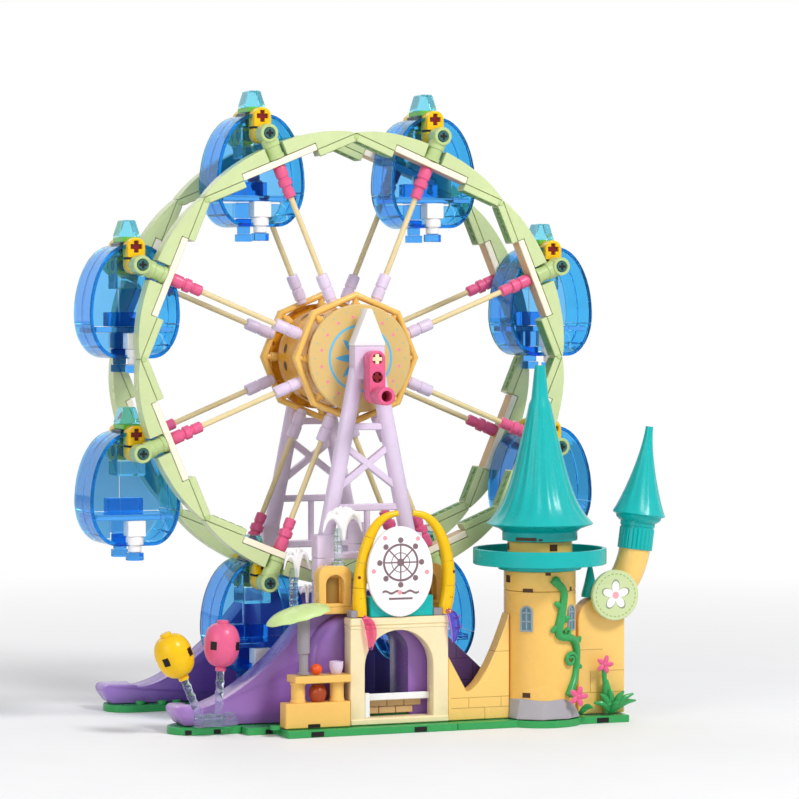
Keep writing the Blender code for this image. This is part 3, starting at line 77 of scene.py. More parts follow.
level_part = math.cos(ELEVATION)
backwards = Vector((math.sin(AZIMUTH) * level_part, -math.cos(AZIMUTH) * level_part, math.sin(ELEVATION)))
lens = bpy.data.cameras.new("camera")
lens.sensor_width = SENSOR
lens.lens = FOCAL_PIXELS * SENSOR / PHOTO_WIDTH
lens.clip_start, lens.clip_end = 0.05, 30
camera = bpy.data.objects.new("camera", lens)
camera.location = LOOK_AT + backwards * DISTANCE
camera.rotation_euler = backwards.to_track_quat("Z", "Y").to_euler()
bpy.context.collection.objects.link(camera)
bpy.context.scene.camera = camera
bpy.context.scene.view_settings.view_transform = "Standard"
print("lens", round(lens.lens, 1), "mm")

# %% [markdown]
# ## Shader sums
# A finish is mostly arithmetic on a few patterns. This small class wraps a socket, so that an expression
# such as `1 - flow * 0.2` adds its own Math nodes, and one method makes every other kind of node.

# %% A socket that takes part in sums
class Wire:
    def __init__(self, tree, socket=None):
        self.tree, self.socket = tree, socket

    def node(self, kind, settings=(), inputs=(), out=0):
        made = self.tree.nodes.new("ShaderNode" + kind)
        for name, value in dict(settings).items():
            setattr(made, name, value)
        for name, value in dict(inputs).items():
            if isinstance(value, Wire):
                value.into(made, name)
            else:
                made.inputs[name].default_value = value
        return Wire(self.tree, made.outputs[out])

    def into(self, node, name):
        self.tree.links.new(self.socket, node.inputs[name])

    def sum(self, operation, *values, clamp=False):
        return self.node("Math", {"operation": operation, "use_clamp": clamp}, dict(enumerate(values)))

    def __add__(self, other):
        return self.sum("ADD", self, other)

    def __sub__(self, other):
        return self.sum("SUBTRACT", self, other)

    def __rsub__(self, other):
        return self.sum("SUBTRACT", other, self)

    def __mul__(self, other):
        return self.sum("MULTIPLY", self, other)

    def __truediv__(self, other):
        return self.sum("DIVIDE", self, other)

    __radd__, __rmul__ = __add__, __mul__

    def below(self, limit):
        return self.sum("LESS_THAN", self, limit)

    def above(self, limit):
        return self.sum("GREATER_THAN", self, limit)

    def between(self, low, high):
        """One where the value lies between two bounds, else nothing."""
        return self.above(low) * self.below(high)

    def swing(self, reach):
        """A value that runs up to a reach and back to nothing, over and over."""
        return self.sum("PINGPONG", self, reach)

    def held(self):
        """The value, held between 0 and 1."""
        return self.sum("MULTIPLY", self, 1.0, clamp=True)

    def joined(self, *masks):
        """One where this mask or any of the others is one."""
        whole = self
        for mask in masks:
            whole = self.sum("MAXIMUM", whole, mask)
        return whole

    def blend(self, first, second):
        """A colour that goes from the first to the second as this value goes from 0 to 1."""
        return self.node("Mix", {"data_type": "RGBA"}, {0: self, 6: first, 7: second}, out=2)

    def noise(self, place, scale, detail, distortion=0.0):
        inputs = {"Vector": place, "Scale": scale, "Detail": detail, "Distortion": distortion}
        return self.node("TexNoise", {}, inputs, out="Fac")

    def bump(self, shader, strength, distance):
        """Raises a shader's surface by this value."""
        inputs = {"Height": self, "Strength": strength, "Distance": distance}
        self.node("Bump", {}, inputs, out="Normal").into(shader, "Normal")


# %% [markdown]
# ## Moulded plastic
# Nearly everything here is glossy moulded plastic. On the real bricks its colour is even, but not dead: the
# melt leaves faint flow marks, the skin ripples a little where the wall is thin, and handling leaves hair
# scratches that break up the shine. Each of those is one noise at its own scale, in object coordinates, so
# that the pattern stays on the brick when the wheel turns. A little light also spreads inside the plastic.

# %% What every finish shares
MILK, MILK_DEPTH = 0.06, (0.0012, 0.0010, 0.0008)


def paint(code):
    """A colour code as linear light, which is what shader sockets take."""
    parts = [int(code[i : i + 2], 16) / 255 for i in (1, 3, 5)]
    return tuple(p / 12.92 if p <= 0.04045 else ((p + 0.055) / 1.055) ** 2.4 for p in parts) + (1,)


def toned(code, factor):
    return tuple(min(1, part * factor) for part in paint(code)[:3]) + (1,)


def settle(shader, values):
    for name, value in values.items():
        shader.inputs[name].default_value = value


def new_finish(name):
    material = bpy.data.materials.new(name)
    material.use_nodes = True
    wire = Wire(material.node_tree)
    return material, wire, material.node_tree.nodes["Principled BSDF"], wire.node("TexCoord", out="Object")


def skin(shader, place, rough):
    """Hair scratches in the gloss, and the ripple and fine grain of a moulded surface."""
    stretched = place.node("Mapping", {}, {"Vector": place, "Rotation": (0.5, 0.3, 0.8), "Scale": (1, 1, 14)})
    scratches = place.noise(stretched, 420, 4).between(0.62, 0.66)
    smear = place.noise(place, 45, 3)
    (scratches * 0.16 + smear * 0.16 + (rough - 0.08)).into(shader, "Roughness")
    ripple = place.noise(place, 38, 1) * 0.7 + place.noise(place, 1500, 2) * 0.05 - scratches * 0.04
    ripple.bump(shader, 0.35, 0.0006)


def moulded(shader, place, shades, rough, milk=0.0):
    """Ends a finish: its colour, the light that spreads inside it, and its skin."""
    shades.into(shader, "Base Color")
    if milk:
        settle(shader, {"Subsurface Weight": milk, "Subsurface Radius": MILK_DEPTH})
    skin(shader, place, rough)


# %% [markdown]
# A kind of plastic is then one colour with its gloss. Bricks of one colour share one finish.

# %% Opaque plastic
def plastic(name, code, rough=0.26, vary=0.07):
    material, wire, shader, place = new_finish(name + "_plastic")
    tone = (wire.noise(place, 26, 4, 1.4) * 0.75 + wire.noise(place, 320, 3) * 0.25 - 0.3) * 2.5
    shades = tone.blend(toned(code, 1 - vary), toned(code, 1 + vary * 0.6))
    moulded(shader, place, shades, rough, MILK)
    settle(shader, {"IOR": 1.5, "Specular IOR Level": 0.32})
    return material


LIME = plastic("lime", "#CCDAA2")
LIME_DEEP = plastic("lime_connector", "#B9CE8C")
# Painted shade: this olive stands for the lime ring plates' undersides in shade.
SHADE_OLIVE = plastic("shade_olive", "#6E9A52", 0.34)
PALE_LEAF = plastic("pale_leaf", "#CBE39B")
LEAF = plastic("leaf_green", "#36A058")
BRIGHT_LEAF = plastic("bright_green", "#63C24B")
CREAM = plastic("cream", "#F6E4B8")
CREAM_TILE = plastic("cream_tile", "#FDF2DC")
# Beige is the passage bricks' own colour, and painted shade for the ring tiles' undersides.
BEIGE_AND_TILE_SHADE = plastic("beige_and_tile_shade", "#CDAA76", 0.3)
SAND = plastic("sand_rod", "#E7D3A0")
GOLD = plastic("gold", "#F5C468")
DARK_GOLD = plastic("dark_gold", "#9C7A38", 0.36)
AMBER = plastic("amber", "#E5A024")
ORANGE = plastic("orange", "#EE5A1E")
RED_BROWN = plastic("red_brown", "#A9441C")
DARK_BROWN = plastic("dark_brown", "#4B2C12", 0.4)
# Painted shade: black blocks stand for the dark inside of openings and holes.
PAINTED_SHADE_BLACK = plastic("shadow_black", "#0D0908", 0.5)
YELLOW = plastic("yellow", "#F8C504")
PINK = plastic("pink", "#E6628F")
DARK_RED = plastic("dark_red", "#7A0F1A")
LAVENDER = plastic("lavender", "#E1CFE8")
TEAL = plastic("teal", "#04B2B0")
PIN_TEAL = plastic("dark_teal_pin", "#35686B", 0.34)
WHITE = plastic("white", "#F4F2F4")
STONE = plastic("stone_grey", "#989299", 0.36)
ROCK = plastic("rock", "#A9A5AC", 0.34, 0.14)
WINDOW_GREY = plastic("window_frame", "#97A6AE", 0.3)
WINDOW_GLASS = plastic("window_glass", "#5F8596", 0.16, 0.16)

# %% [markdown]
# ## See-through plastic
# The gondolas, the balloon stems and the leaves on the gate's corners are clear coloured plastic. A
# transmitting principled shader bends what lies behind it and tints it each time light goes through a wall,
# so two walls look deeper than one, as they do in the photograph. The tint is set pale for that reason.

# %% Clear plastic
THROUGH, BENDING = 0.94, 1.22


def clear(name, code):
    material, wire, shader, place = new_finish(name + "_plastic")
    wire.noise(place, 40, 3, 2.0).blend(toned(code, 0.95), toned(code, 1.05)).into(shader, "Base Color")
    scratches = wire.noise(wire.node("Mapping", {}, {"Vector": place, "Scale": (1, 9, 1)}), 300, 4)
    (scratches.between(0.64, 0.68) * 0.12 + 0.03).into(shader, "Roughness")
    wire.noise(place, 55, 2).bump(shader, 0.25, 0.0008)
    settle(shader, {"Transmission Weight": THROUGH, "IOR": BENDING})
    return material


CLEAR_BLUE = clear("clear_blue", "#78C8FF")
CLEAR_AZURE = clear("clear_azure", "#4FC0FF")
DEEP_BLUE = clear("clear_deep_blue", "#55AEFF")
CLEAR_AQUA = clear("clear_aqua", "#86E0F5")
# Painted light: the aqua blocks inside the gondolas get the crown slope's aqua made paler.
LIGHTENED_AQUA = clear("clear_lightened_aqua", "#BDF3FA")
CLEAR = clear("clear", "#E4F1F2")
CLEAR_PINK = clear("clear_pink", "#F58CC2")
CLEAR_VIOLET = clear("clear_violet", "#CB8EEA")

# %% [markdown]
# ## Light and floor
# A soft studio: a white room that the camera, glossy rays and clear plastic all see as white, at a lower
# level for the light that falls on the bricks, and three large lamps that give the shapes their shading.

# %% Room and lamps
ROOM_LIGHT = 0.45
world = bpy.data.worlds.new("white_room")
bpy.context.scene.world = world
world.use_nodes = True
room = Wire(world.node_tree)
rays = room.node("LightPath").socket.node.outputs
camera_ray, gloss_ray, clear_ray = (
    Wire(room.tree, rays[f"Is {kind} Ray"]) for kind in ("Camera", "Glossy", "Transmission")
)
seen = room.sum("ADD", camera_ray + gloss_ray, clear_ray, clamp=True)
back = world.node_tree.nodes["Background"]
back.inputs["Color"].default_value = (1, 1, 1, 1)
(seen * (1 - ROOM_LIGHT) + ROOM_LIGHT).into(back, "Strength")


def lamp(name, place, aim, size, power):
    light = bpy.data.lights.new(name, "AREA")
    light.shape, light.size, light.energy = "DISK", size, power
    holder = bpy.data.objects.new(name, light)
    holder.location = place
    holder.rotation_euler = (Vector(place) - Vector(aim)).to_track_quat("Z", "Y").to_euler()
    bpy.context.collection.objects.link(holder)
    print(name, power, "W")


lamp("key_lamp", (0.6, -1.2, 1.35), (0, 0, 0.12), 0.5, 20.5)
lamp("fill_lamp", (-1.3, -0.9, 0.6), (0, 0, 0.12), 0.9, 5.5)
lamp("rim_lamp", (-0.3, 1.2, 1.1), (0, 0, 0.15), 0.7, 3.5)

# %% [markdown]
# The floor is matt and pale, and fades into the white room well behind the set, so that there is no edge.

# %% Floor
FLOOR_RADIUS, FADE_START, FADE_LENGTH = 4.0, 0.25, 0.55
floor_finish = bpy.data.materials.new("studio_floor")
floor_finish.use_nodes = True
nodes = floor_finish.node_tree.nodes
matt = nodes["Principled BSDF"]
sheet = Wire(floor_finish.node_tree)
place = sheet.node("TexCoord", out="Object")
sheet.noise(place, 30, 3).blend((0.90, 0.90, 0.91, 1), (0.93, 0.93, 0.94, 1)).into(matt, "Base Color")
settle(matt, {"Roughness": 0.7, "Specular IOR Level": 0.2})
glow = sheet.node("Emission", {}, {"Color": (1, 1, 1, 1), "Strength": 1.0})
away = sheet.node("VectorMath", {"operation": "LENGTH"}, {0: place}, out="Value")
camera_ray = Wire(sheet.tree, sheet.node("LightPath").socket.node.outputs["Is Camera Ray"])
faded = ((away - FADE_START) / FADE_LENGTH).held() * camera_ray
mixed = sheet.node("MixShader", {}, {0: faded, 1: Wire(sheet.tree, matt.outputs[0]), 2: glow})
mixed.into(nodes["Material Output"], "Surface")

bm = bmesh.new()
bmesh.ops.create_circle(bm, cap_ends=True, segments=96, radius=FLOOR_RADIUS)
floor_mesh = bpy.data.meshes.new("studio_floor")
bm.to_mesh(floor_mesh)
bm.free()
floor = bpy.data.objects.new("studio_floor", floor_mesh)
floor_mesh.materials.append(floor_finish)
bpy.context.collection.objects.link(floor)
floor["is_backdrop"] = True
print("floor radius", FLOOR_RADIUS, "m, room light", ROOM_LIGHT)

# %% [markdown]
# ## Shapes that bricks are made of
# Every brick here is one of a few moulded shapes: a block, a round bar, a flat outline given a thickness,
# a turned shape and a bent rod. Each helper starts from one of bmesh's create operators or a few vertices
# and eases the edges, because a real brick's edge catches a thin line of light.

# %% Shape helpers
def bevelled(bm, edges, offset, steps):
    bmesh.ops.bevel(
        bm, geom=edges, affect="EDGES", offset=offset, segments=steps, profile=0.5, material=-1,
        clamp_overlap=True,
    )
    return bm


def ease(bm, edge, steps=1, sharper_than=35):
    limit = math.radians(sharper_than)
    sharp = [e for e in bm.edges if len(e.link_faces) == 2 and e.calc_face_angle() > limit]
    return bevelled(bm, sharp, edge, steps) if edge else bm


def block(x, y, z, edge=0.3):
    bm = bmesh.new()
    bmesh.ops.create_cube(bm, size=1)
    bmesh.ops.scale(bm, vec=[high - low for low, high in (x, y, z)], verts=bm.verts)
    bmesh.ops.translate(bm, vec=[(low + high) / 2 for low, high in (x, y, z)], verts=bm.verts)
    return ease(bm, edge)


def moved(bm, matrix):
    bmesh.ops.transform(bm, matrix=matrix, verts=bm.verts)
    return bm


def shifted(bm, move):
    return moved(bm, Matrix.Translation(move))


def pointed(bm, start, end):
    """Turns a shape made round the Z axis, so that it runs from one point towards another."""
    turn = (Vector(end) - Vector(start)).to_track_quat("Z", "Y").to_matrix().to_4x4()
    return moved(bm, Matrix.Translation(start) @ turn)


def rod(start, end, radius, end_radius=None, sides=20, edge=0.25):
    bm = bmesh.new()
    length = (Vector(end) - Vector(start)).length
    end_radius = radius if end_radius is None else end_radius
    bmesh.ops.create_cone(bm, cap_ends=True, segments=sides, radius1=radius, radius2=end_radius, depth=length)
    bmesh.ops.translate(bm, vec=(0, 0, length / 2), verts=bm.verts)
    return pointed(ease(bm, edge, 1, 50), start, end)


def slab(points, y, edge=0.25, steps=1):
    """An outline in X and Z, given a thickness along Y."""
    bm = bmesh.new()
    face = bm.faces.new([bm.verts.new((across, y[0], up)) for across, up in points])
    grown = bmesh.ops.extrude_face_region(bm, geom=[face], use_keep_orig=True)["geom"]
    far_side = [item for item in grown if isinstance(item, bmesh.types.BMVert)]
    bmesh.ops.translate(bm, vec=(0, y[1] - y[0], 0), verts=far_side)
    bmesh.ops.recalc_face_normals(bm, faces=bm.faces)
    return ease(bm, edge, steps, 28)


def turned(profile, start=(0, 0, 0), end=(0, 0, 1), steps=40):
    """Spins a profile of radius and height into a full turn."""
    bm = bmesh.new()
    verts = [bm.verts.new((radius, 0, height)) for radius, height in profile]
    edges = [bm.edges.new(pair) for pair in zip(verts, verts[1:])]
    bmesh.ops.spin(
        bm, geom=verts + edges, cent=(0, 0, 0), axis=(0, 0, 1), angle=2 * math.pi, steps=steps, use_merge=True
    )
    bmesh.ops.remove_doubles(bm, verts=bm.verts, dist=0.001)
    bmesh.ops.recalc_face_normals(bm, faces=bm.faces)
    return pointed(bm, start, end)


def standing(profile, x, y, steps=28):
    return turned(profile, (x, y, 0), (x, y, 1), steps)


def ball(centre, radii, sides=24, turn=Matrix.Identity(4)):
    bm = bmesh.new()
    bmesh.ops.create_uvsphere(bm, u_segments=sides, v_segments=sides // 2, radius=1)
    bmesh.ops.scale(bm, vec=radii, verts=bm.verts)
    return moved(bm, Matrix.Translation(centre) @ turn)


def to_rear(bm):
    """The mirror image behind the wheel's middle plane, with its faces turned outwards again."""
    bmesh.ops.scale(bm, vec=(1, -1, 1), verts=bm.verts)
    bmesh.ops.reverse_faces(bm, faces=bm.faces)
    return bm


def mirrored(shapes, behind):
    return [to_rear(shape) if behind else shape for shape in shapes]


# %% [markdown]
# Outlines with holes and bent rods come from curves: a flat curve fills between its loops and rounds its own
# edges, and a curve with a bevel is a rod whose radius can change along its way. Both become meshes at once.

# %% Curve helpers
def drawn_curve(loops, closed):
    curve = bpy.data.curves.new("outline", "CURVE")
    for points in loops:
        spline = curve.splines.new("POLY")
        spline.points.add(len(points) - 1)
        for point, place in zip(spline.points, points):
            point.co = (*place, 1)
        spline.use_cyclic_u = closed
    return curve


def curve_mesh(curve):
    holder = bpy.data.objects.new("outline", curve)
    mesh = bpy.data.meshes.new_from_object(holder)
    bm = bmesh.new()
    bm.from_mesh(mesh)
    bpy.data.objects.remove(holder)
    bpy.data.curves.remove(curve)
    bpy.data.meshes.remove(mesh)
    bmesh.ops.remove_doubles(bm, verts=bm.verts, dist=0.0005)
    bmesh.ops.recalc_face_normals(bm, faces=bm.faces)
    return bm


def pierced(loops, y, edge=0.25, steps=0):
    """A slab whose further loops are holes."""
    curve = drawn_curve([[(across, up, 0) for across, up in points] for points in loops], True)
    curve.dimensions, curve.fill_mode = "2D", "BOTH"
    curve.extrude, curve.offset = (y[1] - y[0]) / 2 - edge, -edge
    curve.bevel_depth, curve.bevel_resolution = edge, steps
    return shifted(moved(curve_mesh(curve), Matrix.Rotation(math.pi / 2, 4, "X")), (0, sum(y) / 2, 0))


def bent_rod(points, radii, fine=3):
    curve = drawn_curve([points], False)
    curve.dimensions, curve.bevel_depth, curve.bevel_resolution, curve.use_fill_caps = "3D", 1.0, fine, True
    for index, point in enumerate(curve.splines[0].points):
        point.radius = radii[index] if isinstance(radii, list) else radii
    return curve_mesh(curve)


def flowing(knots, steps=6):
    """A smooth line through a few knots."""
    knots = [Vector(knot) for knot in knots]
    knots = [2 * knots[0] - knots[1], *knots, 2 * knots[-1] - knots[-2]]
    points = []
    for before, start, end, after in zip(knots, knots[1:], knots[2:], knots[3:]):
        for step in range(steps):
            t = step / steps
            bend = (2 * before - 5 * start + 4 * end - after) * t**2
            bend += (3 * start - before - 3 * end + after) * t**3
            points.append((2 * start + (end - before) * t + bend) / 2)
    return points + [knots[-2]]


def along(path, rule):
    """A radius for each point of a path, by a rule on how far along it the point lies."""
    return [rule(index / len(path)) for index in range(len(path))]


def polar(radius, angle, centre=(0, 0)):
    return centre[0] + radius * math.cos(angle), centre[1] + radius * math.sin(angle)


def ways(start, end, steps):
    return [start + (end - start) * step / steps for step in range(steps + 1)]


def arc(centre, radius, start, end, steps):
    return [polar(radius, angle, centre) for angle in ways(start, end, steps)]


def circle(centre, radius, count):
    return arc(centre, radius, 0, 2 * math.pi, count)[:-1]


# %% [markdown]
# One function turns shapes into a finished object: it joins them, scales them to metres, keeps creases
# sharp and curves smooth, gives it its finish, and says which body the piece rides on and which solids
# of the frame it stands for.

# %% From shapes to a piece
def together(shapes):
    bm = bmesh.new()
    for shape in shapes:
        mesh = bpy.data.meshes.new("shape")
        shape.to_mesh(mesh)
        bm.from_mesh(mesh)
        bpy.data.meshes.remove(mesh)
        shape.free()
    return bm


def piece(name, shapes, finish, body="base", *stands_for, crease=32):
    bm = together(shapes)
    bmesh.ops.scale(bm, vec=(MM, MM, MM), verts=bm.verts)
    for face in bm.faces:
        face.smooth = True
    for edge in bm.edges:
        edge.smooth = edge.calc_face_angle(math.pi) < math.radians(crease)
    mesh = bpy.data.meshes.new(name)
    bm.to_mesh(mesh)
    triangles = sum(len(face.verts) - 2 for face in bm.faces)
    bm.free()
    made = bpy.data.objects.new(name, mesh)
    mesh.materials.append(finish)
    bpy.context.collection.objects.link(made)
    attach(made, body)
    if stands_for:
        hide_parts(*stands_for)
    print(f"{name}: {triangles} triangles in {finish.name}")


# %% [markdown]
# ## The wheel's rings
# Each ring has eight segments. A segment is two curved slopes with a gap between them for the gondola's
# connector, a smooth cream tile under the gap and a plate under each outer end, and neighbours meet in a
# mitred corner. The radii were measured along the segment's own middle line, so every point here is given
# as a way along the chord and a way out from the hub.

# %% Segment outlines
EIGHTH = math.pi / 4
RING_Y = (-24.0, -16.0)
TILE_IN, TILE_OUT, TILE_HALF = 92.1, 94.95, 18.4
PLATE_IN, PLATE_OUT, ARCH_FOOT = 89.0, 92.0, 92.3
CROWN, CROWN_DROP = 101.6, 1.6
JOINT = 0.15


def on_segment(index, across, out):
    middle = EIGHTH * (index + 0.5)
    return (
        out * math.cos(middle) - across * math.sin(middle),
        HUB + out * math.sin(middle) + across * math.cos(middle),
    )


def mitre(out):
    """How far a segment reaches along its chord at a way out, up to the corner's joint."""
    return out * math.tan(EIGHTH / 2) - JOINT


def segment_slab(index, side, outline, edge):
    return slab([on_segment(index, side * across, out) for across, out in outline][::side], RING_Y, edge)


def arch_half(index, side):
    curve = []
    for share in ways(0.115, 0.993, 12):
        curve.append(polar(CROWN - CROWN_DROP * share**4, share * EIGHTH / 2)[::-1])
    shoulder = [(TILE_HALF + 0.25, ARCH_FOOT), (TILE_HALF + 0.25, TILE_OUT + 0.35)]
    return segment_slab(
        index, side, [(4.5, TILE_OUT + 0.35), *curve, (mitre(ARCH_FOOT), ARCH_FOOT), *shoulder], 0.3
    )


def corner_plate(index, side):
    start = TILE_HALF + 0.1
    outline = [(start, PLATE_IN), (start, PLATE_OUT)] + [(mitre(out), out) for out in (PLATE_OUT, PLATE_IN)]
    return segment_slab(index, side, outline, 0.25)


def chord_tile(index):
    outline = [(-TILE_HALF, TILE_IN), (TILE_HALF, TILE_IN), (TILE_HALF, TILE_OUT), (-TILE_HALF, TILE_OUT)]
    return segment_slab(index, 1, outline, 0.25)


# %% [markdown]
# Seen from inside, the plates' undersides are painted a darker olive with a row of round tubes, and the
# tiles'
# a brown one: both are painted shade, as those faces turn inwards, away from the light. Each is a thin liner
# set into the inner face, a little narrower than the plate.

# %% Rings
RING_MIDDLE = sum(RING_Y) / 2
PLATE_REACH = (19.2, 36.2)
SIDES = (("front", False), ("rear", True))


# A liner's colour is painted shade for an inward face.
def shade_liner(index, start, end, out):
    corners = [(start, out - 0.12), (end, out - 0.12), (end, out + 0.5), (start, out + 0.5)]
    inset = (RING_Y[0] + 0.5, RING_Y[1] - 0.5)
    return slab([on_segment(index, across, way) for across, way in corners], inset, 0)


def tube_row(index, side):
    """Short tubes that stick a little out of a liner."""
    shapes = []
    for step in range(4):
        across = min(side * reach for reach in PLATE_REACH) + 3 + 4 * step
        ends = [on_segment(index, across, PLATE_IN + out) for out in (0.2, -0.45)]
        shapes.append(rod(*[(x, RING_MIDDLE, z) for x, z in ends], 1.5, sides=14, edge=0))
    return shapes


for name, behind in SIDES:
    arches, plates, tiles, plate_shade_liners, tile_shade_liners = [], [], [], [], []
    for index in range(8):
        for side in (-1, 1):
            arches.append(arch_half(index, side))
            plates.append(corner_plate(index, side))
            plate_shade_liners.append(shade_liner(index, side * PLATE_REACH[0], side * PLATE_REACH[1], PLATE_IN))
            plate_shade_liners += tube_row(index, side)
        tiles.append(chord_tile(index))
        tile_shade_liners.append(shade_liner(index, -17.9, 17.9, TILE_IN))
    piece(name + "_ring_arches", mirrored(arches, behind), LIME, "wheel", "ring_" + name)
    piece(name + "_ring_corner_plates", mirrored(plates, behind), LIME, "wheel")
    piece(name + "_ring_tiles", mirrored(tiles, behind), CREAM_TILE, "wheel")
    piece(name + "_ring_plate_shade_liners", mirrored(plate_shade_liners, behind), SHADE_OLIVE, "wheel")
    piece(name + "_ring_tile_shade_liners", mirrored(tile_shade_liners, behind), BEIGE_AND_TILE_SHADE, "wheel")

# %% [markdown]
# A connector stands on every tile: a round stem in the gap of the arches, and a head with a hole across it
# that takes the gondola's pin. The stem has the shallow grooves of an axle joiner. At each corner a small
# hinge knuckle shows between the segments.

# %% Connectors and hinges
PIVOT = 107.2
STEM = [(0, 0), (3.9, 0), (3.9, 1.6), (3.5, 1.9), (3.5, 5.4), (3.9, 5.8), (3.9, 9.5), (0, 9.5)]
HEAD = [(2.75, 0), (3.8, 0), (4.1, 0.35), (4.1, 8.25), (3.8, 8.6), (2.75, 8.6), (2.45, 7.9), (2.45, 0.7),
        (2.75, 0)]


def outward(angle):
    return Vector((math.cos(angle), 0, math.sin(angle)))


def connector(index):
    out = outward(EIGHTH * (index + 0.5))
    foot = Vector((0, -20.9, HUB)) + out * 95.3
    pivot = Vector((0, 0, HUB)) + out * PIVOT
    return [turned(STEM, foot, foot + out, 20), turned(HEAD, pivot + Vector((0, -25.2, 0)), pivot, 24)]


def hinge(index):
    x, z = polar(98.2, EIGHTH * index, (0, HUB))
    knuckles = ((-24.35, -22.0), (-21.2, -18.8), (-18.0, -15.7))
    return [rod((x, start, z), (x, end, z), 1.25, sides=16) for start, end in knuckles]


for name, behind in SIDES:
    shapes = [shape for index in range(8) for shape in connector(index) + hinge(index)]
    piece(name + "_ring_connectors", mirrored(shapes, behind), LIME_DEEP, "wheel")

# %% [markdown]
# ## Spokes
# A spoke is a thin sand-coloured bar between two clips: a lavender one that grips the hub's octagon and a
# pink one under the cream tile. The clips are turned shapes with collars, and the pink one has the thicker
# knob that the photograph shows halfway.

# %% Spokes
SPOKE_IN, SPOKE_OUT = 27.6, 76.8
HUB_CLIP = [(0, -1.5), (2.0, -1.5), (2.3, -1.2), (2.3, 0.6), (2.7, 1.0), (2.7, 5.2), (2.35, 5.5), (2.35, 6.2),
            (2.7, 6.5), (2.7, 11.9), (2.4, 12.4), (1.4, 12.5), (0, 12.5)]
RIM_CLIP = [(0, 0), (1.4, 0), (2.1, 0.2), (2.5, 0.6), (2.5, 4.2), (2.2, 4.5), (2.2, 5.4), (3.1, 5.9),
            (3.1, 8.4), (2.4, 8.9), (2.4, 9.6), (2.9, 10.0), (2.9, 14.4), (2.6, 15.0), (0, 15.0)]

for name, y in (("front", -20.0), ("rear", 20.0)):
    bars, hub_clips, rim_clips = [], [], []
    for index in range(8):
        hub, out = Vector((0, y, HUB)), outward(EIGHTH * (index + 0.5))
        bars.append(rod(hub + out * 39.5, hub + out * 78, 1.25, sides=14, edge=0))
        hub_clips.append(turned(HUB_CLIP, hub + out * SPOKE_IN, hub + out * 99, 20))
        rim_clips.append(turned(RIM_CLIP, hub + out * SPOKE_OUT, hub + out * 99, 20))
    piece(f"{name}_spoke_bars", bars, SAND, "wheel", *[f"spoke_{name}_{k}" for k in range(1, 9)])
    piece(f"{name}_hub_clips", hub_clips, LAVENDER, "wheel")
    piece(f"{name}_rim_clips", rim_clips, PINK, "wheel")

# %% [markdown]
# ## The hub
# Two round faces carry a golden drum between them, with an octagon of bars in front of and behind it.
# The front face is tan and printed with a ring, a plain star of eight points and two rows of dots, all
# drawn here with polar coordinates in the shader, so that the print turns with the wheel.

# %% Printed hub face
def ways_from(wire, place, centre=(0, 0)):
    """Both ways from a point in the XZ plane, in millimetres."""
    parts = wire.node("SeparateXYZ", {}, {0: place}).socket.node.outputs
    return [Wire(wire.tree, parts[axis]) * 1000 - middle for axis, middle in zip("XZ", centre)]


def round_ways(x, z):
    """The distance from that point and the angle about it."""
    return x.sum("SQRT", x * x + z * z), x.sum("ARCTAN2", z, x)


def round_dots(radius, angle, ring, spacing, size):
    """Round dots on a ring, whose angles lie two spacings apart."""
    off, aside = radius - ring, angle.swing(spacing) * ring
    return radius.sum("SQRT", off * off + aside * aside).below(size)


def overprint(ground, *layers):
    for mask, code in layers:
        ground = mask.blend(ground, paint(code))
    return ground


def hub_face_finish():
    material, wire, shader, place = new_finish("printed_hub_face")
    radius, angle = round_ways(*ways_from(wire, place, (0, HUB)))
    petal = wire.sum("ABSOLUTE", angle.swing(math.pi / 4) / (math.pi / 4) * 2 - 1)
    shades = overprint(
        wire.noise(place, 60, 3).blend(paint("#D8B56F"), paint("#E2C27E")),
        (radius.between(13.9, 15.0), "#62BCE6"),
        (radius.below(petal.sum("POWER", petal, 1.6) * 6.6 + 5.4) * radius.above(4.8), "#57AFDC"),
        (round_dots(radius, angle + math.pi / 16, 18.6, math.pi / 16, 0.75), "#F08CA0"),
        (round_dots(radius, angle, 21.4, math.pi / 20, 0.35), "#6CC2B4"),
    )
    moulded(shader, place, shades, 0.3)
    return material


HUB_FACE = hub_face_finish()
print("hub print in", HUB_FACE.name)

# %% [markdown]
# The faces, the golden disks behind them and the drum between are turned or pierced round the axle. The
# disks have a small notch every fifteen degrees, which shows as a fine rhythm round their edge.

# %% Hub faces and disks
AXLE = (0, HUB)


def on_axle(profile, steps, toward=-1, height=HUB):
    """Turns a profile round the axle or a line below it; its heights run forwards, or backwards."""
    return turned(profile, (0, 0, height), (0, toward, height), steps)


def hub_disk():
    rim = [(23.4, 28.9), (24.0, 28.4), (24.0, 27.2), (23.5, 27.0)]
    return on_axle([(2.8, 28.9), *rim, (2.8, 27.0), (2.8, 28.9)], 72)


def notched_disk():
    loop = []
    for index in range(24):
        middle, step = index * math.pi / 12, math.pi / 12
        loop += [polar(22.3, middle + turn, AXLE) for turn in (-0.035, 0.035)]
        loop += [polar(23.6, middle + turn, AXLE) for turn in (0.05, step - 0.05)]
    return pierced([loop, circle(AXLE, 2.8, 16)], (-26.9, -25.2), 0.2)


piece("front_hub_face", [hub_disk()], HUB_FACE, "wheel", "hub_drum")
piece("rear_hub_face", [to_rear(hub_disk())], AMBER, "wheel")
piece("hub_gear_disks", [notched_disk(), to_rear(notched_disk())], AMBER, "wheel")
